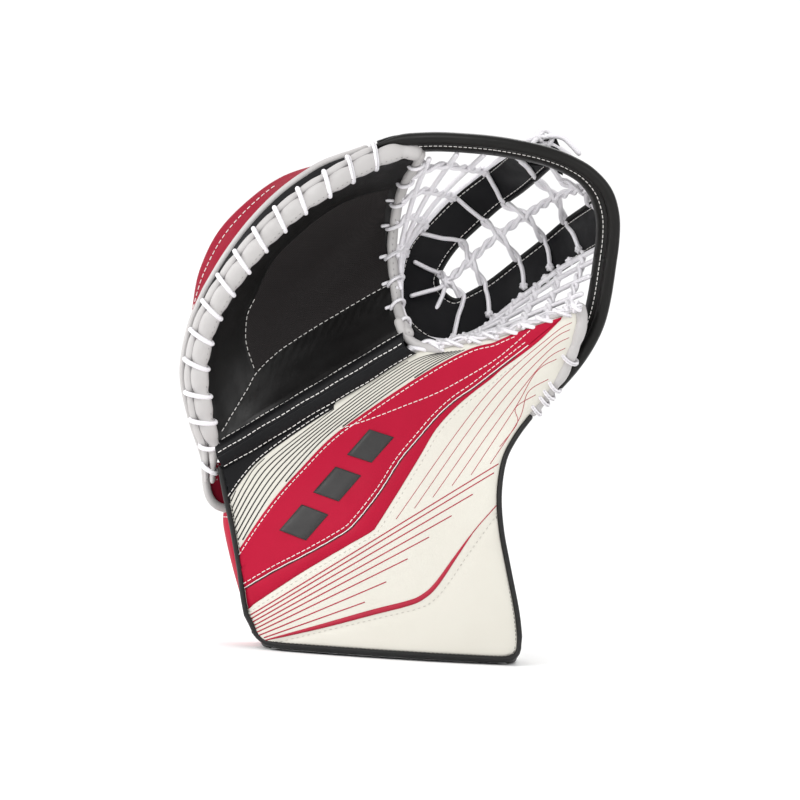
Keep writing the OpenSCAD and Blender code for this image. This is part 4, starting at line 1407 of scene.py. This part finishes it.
def build_net_sides():
    """The nets between the palm and the spine, and between the spine and the thumb."""
    runs = [([(a, 0.02), (a * 1.1, 0.22), ((a * 2 + b) / 3, 0.5), ((a + b * 2) / 3, 0.75), (b, 0.99)], lift)
            for a, b, lift in ((0.36, 0.14, 1.0), (0.5, 0.42, 1.4), (0.68, 0.70, 1.9), (0.86, 0.95, 2.4))]
    crosses = ((0.30, 0.22), (0.45, 0.37), (0.60, 0.54), (0.75, 0.70), (0.90, 0.86))
    laces = net_parts(NET_FINGER, runs, crosses, (0.3, 0.65), 40, 21, 20, (0.21, 0.36, 0.53, 0.70, 0.86),
                      3.0, 1.4, 9)
    piece = laces.make("net_laces_finger_side", LACE, None, "white_lace", ["net_finger_side"])
    blend(piece, "fingers", "tee", (-10, 50, 300), (14, 60, 285))
    runs = [([(a, 0.03), (a * 1.05, 0.3), (a * 1.04, 0.6), (b, 0.98)], lift)
            for a, b, lift in ((0.26, 0.24, 0.6), (0.5, 0.5, 1.2), (0.72, 0.74, 1.6), (0.92, 0.92, 2.0))]
    crosses = ((0.16, 0.22), (0.33, 0.40), (0.47, 0.54), (0.61, 0.67), (0.74, 0.79), (0.87, 0.90))
    laces = net_parts(NET_THUMB, runs, crosses, (0.35, 0.7), 36, 20, 30, (0.24, 0.42, 0.58, 0.72, 0.85),
                      2.6, 1.3, 7)
    piece = laces.make("net_laces_thumb_side", LACE, None, "white_lace", ["net_thumb_side"])
    blend(piece, "cuff", "tee", (56, 20, 226), (44, 70, 246))


MIDDLE = [
    (28, 86, 269), (42, 90, 284), (57, 92, 300), (71, 88, 312), (85, 78, 323), (99, 62, 332), (113, 42, 338),
    (125, 26, 339)
]


def strip_point(s, f):
    """A point on the spine: s along its curves and f across from the outer edge (0) to the window (1)."""
    return at(TEE_OUT, s) * (1 - f) + at(TEE_IN, s) * f


# Each crossing lace: where it starts, its place along the middle lace, and where it ends on the lower strip
CROSSES = [
    ([strip_point(0.35, 0.3), strip_point(0.375, 0.65), strip_point(0.40, 1.0)], 0.01, 0.645, 0.12),
    ([strip_point(0.255, 0.1), strip_point(0.265, 0.55), strip_point(0.275, 1.0)], 0.165, 0.725, 0.3),
    ([strip_point(0.15, 0.1), strip_point(0.17, 0.55), strip_point(0.19, 1.0)], 0.355, 0.82, 0.3),
    ([strip_point(0.075, 0.1), strip_point(0.1, 0.55), strip_point(0.13, 1.0)], 0.54, 0.89, 0.25),
    ([Vector((68, 13, 358)), Vector((79, 38, 353)), Vector((88, 60, 345))], 0.745, 0.95, 0.2),
    ([Vector((93, 9, 354)), Vector((99, 24, 349)), Vector((105, 38, 344))], 0.915, 1.0, 0.2),
]


def cross_paths(first, middle, end, f):
    """The two strands of a crossing lace, twisted over the window, with one on either side of each strip."""
    points = first + [at(MIDDLE, middle) - BACK * 1.0, strip_point(max(0.51, end - 0.03), 1.0),
                      strip_point(end - 0.01, 0.5 + f / 2), strip_point(end, f)]
    stretch = [tuple(p) for p in points]
    count = 72
    centre = [at(stretch, i / count) for i in range(count + 1)]
    strands = []
    for side in (0, 1):
        line = []
        for i, p in enumerate(centre):
            s = i / count
            across = BACK.cross(direction(centre, i)).normalized()
            window = min(1.0, max(0.0, (0.5 - abs(s - 0.5) - 0.27) / 0.08))
            angle = 2 * math.pi * (s - 0.5) * 3.6 + math.pi * side
            twist = across * (1.8 * math.cos(angle)) + BACK * (1.4 * math.sin(angle))
            strip = BACK * (-2.6 if side == 0 else 5.4)
            line.append(p + twist * window + strip * (1 - window))
        strands.append(line[int(count * 0.10):int(count * 0.90)] if side else line)
    return strands


def build_net_window():
    """The crossings over the spine's window, and the twisted pair along its middle, its knot and tails."""
    runs = Bundle()
    for first, middle, end, f in CROSSES:
        for line in cross_paths(first, middle, end, f):
            runs.add(tube_parts(line, CROSS_STRAND, 10))
        runs.add(knot_parts(strip_point(end, f) - BACK * 2.2, 2.4, 1.3, end * 8))
    runs.add(twisted_parts(evenly(curve(MIDDLE, 100), 1.5), CROSS_STRAND, 1.8, 22, 0.4))
    runs.add(knot_parts(Vector(MIDDLE[0]) - BACK * 1.5, 4.0, 1.5, 0.3))
    for tail in ([(28, 84, 268), (22, 82, 264), (14, 78, 261), (3, 74, 257)],
                 [(27, 84, 266), (25, 81, 258), (21, 77, 248), (17, 74, 240)]):
        runs.add(tube_parts(curve(tail, 20), 1.6, 10))
    runs.make("net_laces_window", LACE, "tee", "white_lace", ["net_window"])


def build_rim_tie():
    """The end of the spine's hide over the rim, tied with a lace behind the top right of the pocket."""
    tab = Patch([(80, 19, 352), (92, 19, 352), (104, 20, 347)],
                [(84, 23, 371), (91, 24, 375), (98, 23, 373)],
                [(80, 19, 352), (81, 22, 362), (84, 23, 371)],
                [(104, 20, 347), (103, 22, 361), (98, 23, 373)])
    face = tab.grid(12, 12)
    make("rim_tie_tab", sheet_parts(face, 2.2), BLACK_HIDE, "tee",
         "black_leather", ["tee_lace"])
    laces = Bundle()
    for path in ([(70, 14, 363), (76, 18, 369), (82, 20, 372), (86, 21, 377), (91, 22, 378), (95, 22, 374),
                  (93, 23, 368)],
                 [(80, 17, 366), (84, 19, 371), (93, 20, 374), (102, 20, 373.5), (108, 19, 369),
                  (114, 17, 363)],
                 [(74, 20, 361), (83, 22, 366), (92, 24, 369), (101, 24, 366), (112, 21, 358)]):
        laces.add(tube_parts(evenly(curve(path, 40), 1.5), 1.9, 10))
    laces.add(knot_parts(Vector((86, 21, 373)), 3.4, 1.5, 0.6))
    laces.make("rim_tie_laces", LACE, "tee", "white_lace")


def build_pocket_edge():
    """The white roll along the pocket side of the palm, with its lace ties."""
    line = [p + Vector((2.5, 1, 0)) for p in evenly(curve(PALM_POCKET, 80), 1.5)]
    ties = 8
    tube("pocket_edge_roll", line, scalloped(3.5, ties, 0.14), WHITE_HIDE, "fingers", "white_binding",
         ["pocket_binding"], 16, scalloped(4.6, ties, 0.14))
    corner = [
        (-5, 26.5, 236), (-1.5, 25.5, 229), (4, 25, 223.6), (10, 25.4, 220.6), (16, 26, 219.4),
        (25, 26.6, 219)
    ]
    tube("pocket_corner_roll", evenly(curve(corner, 30), 1.5), 3.4, WHITE_HIDE, "tee", "white_binding")
    filler = Patch([(-3, 28, 210), (8, 28, 213), (22, 28, 217)],
                   [(-3, 30, 232), (8, 30, 230), (22, 30, 226)],
                   [(-3, 28, 210), (-3, 30, 232)], [(22, 28, 217), (22, 30, 226)])
    make("pocket_corner_web", sheet_parts(filler.grid(10, 8), 1.6), BLACK_HIDE, "tee", "black_leather")
    laces = Bundle()
    for k in range(ties):
        i = int((k + 0.5) / ties * (len(line) - 1))
        laces.add(loop_round(line, i, 4.9, 5.8, 1.35, -2.6, 8, 22))
        t = direction(line, i)
        side = sideways(t)
        stub = line[i] + side * 4.2 + BACK * -1.5
        laces.add(tube_parts([stub, stub + side * 2.0 + t * -0.4, stub + side * 4.0 + t * -1.0], 1.3, 8))
    Bundle(stitch_parts([p + Vector((0.4, -5.0, 0)) for p in line], 0.9, 3.4, 0.28, 0.5)).make(
        "pocket_edge_stitches", GREY_THREAD, "fingers", "black_binding")
    laces.make("pocket_edge_laces", LACE, "fingers", "white_lace")


# ---------------------------------------------------------------- thumb edges


def build_thumb():
    """The white rolls along the thumb's top and outer edge, with their lacing."""
    line = evenly([p + Vector((0, 2.0, 2.0)) for p in curve(CUFF_TOP, 120) if p.x > -1], 1.5)
    ties = 9
    Bundle(tube_parts(line, scalloped(2.6, ties, 0.12), 14, scalloped(3.4, ties, 0.12))).make(
        "thumb_top_roll", WHITE_HIDE, "cuff", "white_binding")
    laces = Bundle()
    for k in range(ties):
        laces.add(loop_round(line, int((k + 0.9) / (ties + 0.6) * (len(line) - 1)), 3.6, 4.6, 1.5, -5.4, 9,
                             26))
    for phase, high in ((0.0, 1.4), (2.0, 2.6)):
        weave = []
        for k in range(61):
            a = k * 0.63 + phase
            p = line[int(k / 60 * (len(line) - 1))]
            weave.append(p + Vector((0, -3.0 + math.cos(a), high + 1.3 * math.sin(a))))
        laces.add(tube_parts(evenly(weave, 1.5), 1.35, 8))
    edge = evenly(curve(THUMB_EDGE, 60), 1.5)
    Bundle(tube_parts(edge, scalloped(4.4, 5, 0.14), 18, scalloped(5.2, 5, 0.14))).make(
        "thumb_edge_roll", WHITE_HIDE, "cuff", "white_binding", ["thumb_binding"])
    for s in (0.45, 0.72, 0.80, 0.88, 0.97):
        laces.add(loop_round(edge, int(s * (len(edge) - 1)), 6.2, 7.0, 1.4, 1.8, 9, 24))
    laces.add(knot_parts(Vector((118, -5, 254)), 4.0, 1.5, 1.0))
    laces.make("thumb_laces", LACE, "cuff", "white_lace", ["thumb_lace"])


def build_thumb_pad():
    """The cushion behind the thumb, puffed and seamed, and the web that joins it to the cuff's side."""
    low, top = [(44, 88, 158), (70, 84, 170), (98, 68, 184)], [(30, 90, 194), (62, 84, 212), (104, 64, 226)]
    left, right = [low[0], top[0]], [low[2], top[2]]
    back_pad = Patch(low, top, left, right, 6)
    front = back_pad.grid(26, 18, 0.03, 0.97, 0.04, 0.96)
    rear = shifted(front, lambda p, u, v: BACK * (4.6 + 5.5 * math.sqrt(max(0, hump(u, v)))))
    piece = make("thumb_back_cushion", slab_parts(front, rear), BLACK_HIDE, None, "black_leather")
    puff(piece, 4.0, 4.0, [low, top, left, right])
    groove(piece, [[back_pad(u, 0.5) + BACK * 12 for u in (0.08, 0.25, 0.4, 0.55, 0.7, 0.92)]], 2.2, 1.2)
    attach(piece, "cuff")
    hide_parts("thumb_back_pad")
    near = curve([(66, 44, 152), (80, 46, 165), (91, 46, 179), (100, 43, 195), (105, 36, 210),
                  (108, 28, 225)], 24)
    far = curve([(50, 88, 161), (74, 84, 172), (97, 70, 185), (101, 68, 199), (102, 67, 212),
                 (102, 66, 224)], 24)
    rows = []
    for j in range(13):
        bulge = Vector((2.0, 0, -2.5)) * math.sin(math.pi * j / 12)
        rows.append([a * (1 - j / 12) + b * (j / 12) + bulge for a, b in zip(near, far)])
    back = [[p + Vector((-1.4, 0, 1.0)) for p in row] for row in rows]
    make("thumb_side_web", slab_parts(rows, back), BLACK_HIDE, "cuff", "black_leather")


# ---------------------------------------------------------------- straps

FLAP_Y = 5.5
RING_Y = 3.5
STRAP_T = 2
RING_SPAN = 14
RING_HOLE = 2.06


def wrist_place(x, y, z):
    return Vector((-76 + x, 82 + y, 34 + z))


def hand_place(x, y, z):
    return FOLD_FROM + ALONG * (60 + x) + BACK * (74 + y) + UP * (9 + z)


def resting(place, tree, flat, near, far):
    """A place function by which webbing past near, and fully past far, lies on the surface below it."""
    def put(x, y, z):
        base = place(x, flat, z)
        hit = tree.ray_cast(Vector((base.x, 200, base.z)) * MM, -BACK)[0]
        push = max(-3.0, min(6.0, hit.y / MM + 1.3 - base.y)) if hit else 0.0
        return place(x, y, z) + BACK * (push * ramp((x - near) / (far - near), 0, 1))
    return put


def strap(name, place, outline, low, high, material, body, slot, replaces, thick=1.9, round_end=0.0):
    """Webbing that follows an outline of (x, y) points, between heights low and high, with soft edges."""
    path = evenly([Vector((x, y, 0)) for x, y in outline], 1.2)
    total = length_of(path)
    across = 10
    points, uvs, run = [], [], 0.0
    for i, p in enumerate(path):
        t = direction(path, i)
        side = Vector((-t.y, t.x, 0)) * (thick / 2)
        if i:
            run += (p - path[i - 1]).length
        trim = 0.0
        if round_end and total - run < round_end:
            reach = (round_end - (total - run)) / round_end
            trim = round_end * 0.55 * (1 - math.sqrt(max(0.0, 1 - reach ** 2)))
        for k in range(2 * across):
            f = k % across / (across - 1)
            full = 1.0 if 0 < f < 1 else 0.35
            if k >= across:
                f, full = 1 - f, -full
            z = low + trim + (high - low - 2 * trim) * f
            q = p + side * full
            points.append(place(q.x, q.y, z))
            uvs.append((z * MM, run * MM))
    return make(name, (points, ring_faces(len(path), 2 * across), uvs), material, body, slot, replaces)


def ring_loop(length, y_flat, hole_x, tuck):
    """The outline of webbing that comes along y_flat, goes round a ring's wire and back under itself."""
    r = RING_HOLE + STRAP_T / 2
    up = 1 if length > hole_x else -1
    sign = 1 if y_flat > RING_Y else -1
    points = [(length, y_flat), ((length + hole_x) / 2, y_flat), (hole_x + up * 4, y_flat)]
    for k in range(13):
        a = math.pi * k / 12
        points.append((hole_x - up * r * math.sin(a), RING_Y + sign * r * math.cos(a)))
    points.append((hole_x + up * tuck, RING_Y - sign * r + sign * 0.4))
    return points


def build_strap_set(name, place, width, length, flap_length, tab, body, flap_body, end_place=None,
                    tab_place=None):
    """One strap: its webbing, loop pile, hook pile, folding flap, ring tab and stitches."""
    end_place, tab_place = end_place or place, tab_place or place
    for kind, where, line, inset, material, rider, slot, node, thick, round_end in (
            ("strap_webbing", end_place, [(4.8, 1), (length, 1)], 0, WEB, body, "webbing", "strap", 1.9, 0),
            ("loop_pile", place, [(14, 2.7), (length - 26, 2.7)], 2, LOOP_PILE, body, "hook_and_loop",
             "loop_patch", 1.4, 0),
            ("hook_pile", place, [(12, 4.75), (flap_length - 4, 4.75)], 2, HOOK_PILE, flap_body,
             "hook_and_loop", "hook_patch", 1.4, 6),
            ("flap_webbing", place, ring_loop(flap_length, FLAP_Y + 1, 0, 8)[::-1], 0, WEB, flap_body,
             "webbing", "flap", 1.9, 9),
            ("tab_webbing", tab_place, ring_loop(-RING_SPAN - tab, RING_Y - 3, -RING_SPAN, 8), 4, WEB, body,
             "webbing", "ring_tab", 1.9, 0)):
        strap(name + "_" + kind, where, line, inset, width - inset, material, rider, slot,
              [name + "_" + node], thick, round_end)
    left, right, top = length - 18, length - 4, width - 3
    box = [(right, 3), (left, 3), (left, top), (right, top), (right, 3), (left, top)]
    lines = [[end_place(a[0] + (b[0] - a[0]) * i / 20, 2.2, a[1] + (b[1] - a[1]) * i / 20)
              for i in range(21)]
             for a, b in zip(box, box[1:])]
    sew(name + "_strap_stitches", lines, 2.0, 1.2, 0.3, body, CREAM_THREAD)
    lines = [[place(6 + (flap_length - 16) * i / 40, FLAP_Y + 2.1, z) for i in range(41)] for z in (3, top)]
    lines.append([place(7.5, FLAP_Y + 2.1, 3 + (width - 6) * i / 20) for i in range(21)])
    sew(name + "_flap_stitches", lines, 2.0, 1.2, 0.3, flap_body, CREAM_THREAD)


def build_hand_gussets():
    """Two webs of hide that carry the hand strap from the palm's lining."""
    for name, u, s, replaces in (("near", 0.93, 86.0, ["hand_gusset"]), ("far", 0.06, -34.0, ())):
        rows = []
        for j in range(21):
            t = j / 20
            near = palm(u, 0.04 + 0.21 * t) + BACK * (PALM_BACK + 0.2)
            far = hand_place(s, 0, 28 * t)
            rows.append([near * (1 - f) + far * f
                         + Vector((1.2 * math.sin(math.pi * f) * math.sin(math.pi * t), 0, 0))
                         for f in (i / 24 for i in range(25))])
        back = [[p + Vector((2.4, 0, 0)) for p in row] for row in rows]
        make("hand_gusset_" + name, slab_parts(back, rows), BLACK_HIDE, "fingers", "black_leather", replaces)
        lines = [[p + Vector((2.6, 0, 0)) for p in back[j][1:-1]] for j in (2, 18)]
        sew("hand_gusset_stitches_" + name, lines, 2.2, 1.3, 0.3, "fingers", CREAM_THREAD)


# ---------------------------------------------------------------- the object

cuff_skin = build_cuff()
build_cuff_graphics(cuff_skin)
build_cuff_edges()
left_wing = build_wing("wing_left", WING_LEFT_LOW, WING_LEFT_TOP, RED, "red_leather", ["cuff_wing_left"])
right_wing = build_wing("wing_right", WING_RIGHT_LOW, WING_RIGHT_TOP, CREAM, "cream_leather",
                        ["cuff_wing_right"])
build_palm()
build_break()
build_finger_edge()
build_finger_pad()
build_stalls()
build_rim()
build_spine()
build_net_sides()
build_net_window()
build_rim_tie()
build_pocket_edge()
build_thumb()
build_thumb_pad()
build_strap_set("wrist", wrist_place, 44, 148, 92, 12, "cuff", "wrist_flap",
                resting(wrist_place, right_wing, 1, 124, 134),
                resting(wrist_place, left_wing, 0.5, -17, -22))
build_strap_set("hand", hand_place, 28, 86, 50, 20, "fingers", "hand_flap")
build_hand_gussets()
for node in ("wrist_ring", "hand_ring"):
    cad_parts[node].data.materials.clear()
    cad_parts[node].data.materials.append(STEEL)
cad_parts["break_roll"].data.materials.clear()
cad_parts["break_roll"].data.materials.append(BLACK_HIDE)

# ---------------------------------------------------------------- stage, light and camera


def area_light(name, place, aim, size, power):
    lamp = bpy.data.lights.new(name, "AREA")
    lamp.shape, lamp.size, lamp.energy = "DISK", size, power
    obj = bpy.data.objects.new(name, lamp)
    obj.location = place
    obj.rotation_euler = (Vector(aim) - Vector(place)).to_track_quat("-Z", "Y").to_euler()
    bpy.context.scene.collection.objects.link(obj)


def build_stage():
    """A pale floor that curves up into a pale backdrop."""
    rows = []
    for y, z in ((-3.0, 0.0), (1.4, 0.0), (1.8, 0.03), (2.15, 0.15), (2.4, 0.4), (2.5, 0.8), (2.5, 4.0)):
        rows.append((y, z))
    points = [(x, y, z - 0.0005) for y, z in rows for x in (-4.0, 4.0)]
    faces = [[2 * k, 2 * k + 1, 2 * k + 3, 2 * k + 2] for k in range(len(rows) - 1)]
    data = bpy.data.meshes.new("stage")
    data.from_pydata(points, [], faces)
    for polygon in data.polygons:
        polygon.use_smooth = True
    paper = Nodes("stage_paper", (0.93, 0.93, 0.93), 0.9, 0.1)
    paper.mottle(paper.noise(3, 2), (0.91, 0.91, 0.91), 0.5)
    data.materials.append(paper.material)
    obj = bpy.data.objects.new("stage", data)
    bpy.context.scene.collection.objects.link(obj)


build_stage()
world = bpy.data.worlds.new("studio")
world.use_nodes = True
world.node_tree.nodes["Background"].inputs[0].default_value = (1.0, 1.0, 1.0, 1)
world.node_tree.nodes["Background"].inputs[1].default_value = 0.85
bpy.context.scene.world = world
bpy.context.scene.view_settings.view_transform = "Standard"
area_light("key", (-0.9, -1.6, 1.5), (0, 0, 0.2), 1.2, 18)
area_light("fill", (1.5, -1.4, 0.8), (0, 0, 0.2), 1.5, 8)
area_light("side", (-1.8, -0.2, 0.9), (0, 0, 0.2), 1.0, 16)
area_light("back", (0.2, 1.2, 1.6), (0, 0, 0.2), 1.0, 10)

CAMERA_ROLL = math.radians(3.7)
camera_data = bpy.data.cameras.new("camera")
camera_data.lens, camera_data.sensor_width = 135, 36
camera = bpy.data.objects.new("camera", camera_data)
camera.location = (-0.0006, -2.1, 0.1811)
right = Vector((math.cos(CAMERA_ROLL), 0, math.sin(CAMERA_ROLL)))
above = Vector((-math.sin(CAMERA_ROLL), 0, math.cos(CAMERA_ROLL)))
camera.rotation_euler = Matrix((right, above, Vector((0, -1, 0)))).transposed().to_euler()
bpy.context.scene.collection.objects.link(camera)
bpy.context.scene.camera = camera
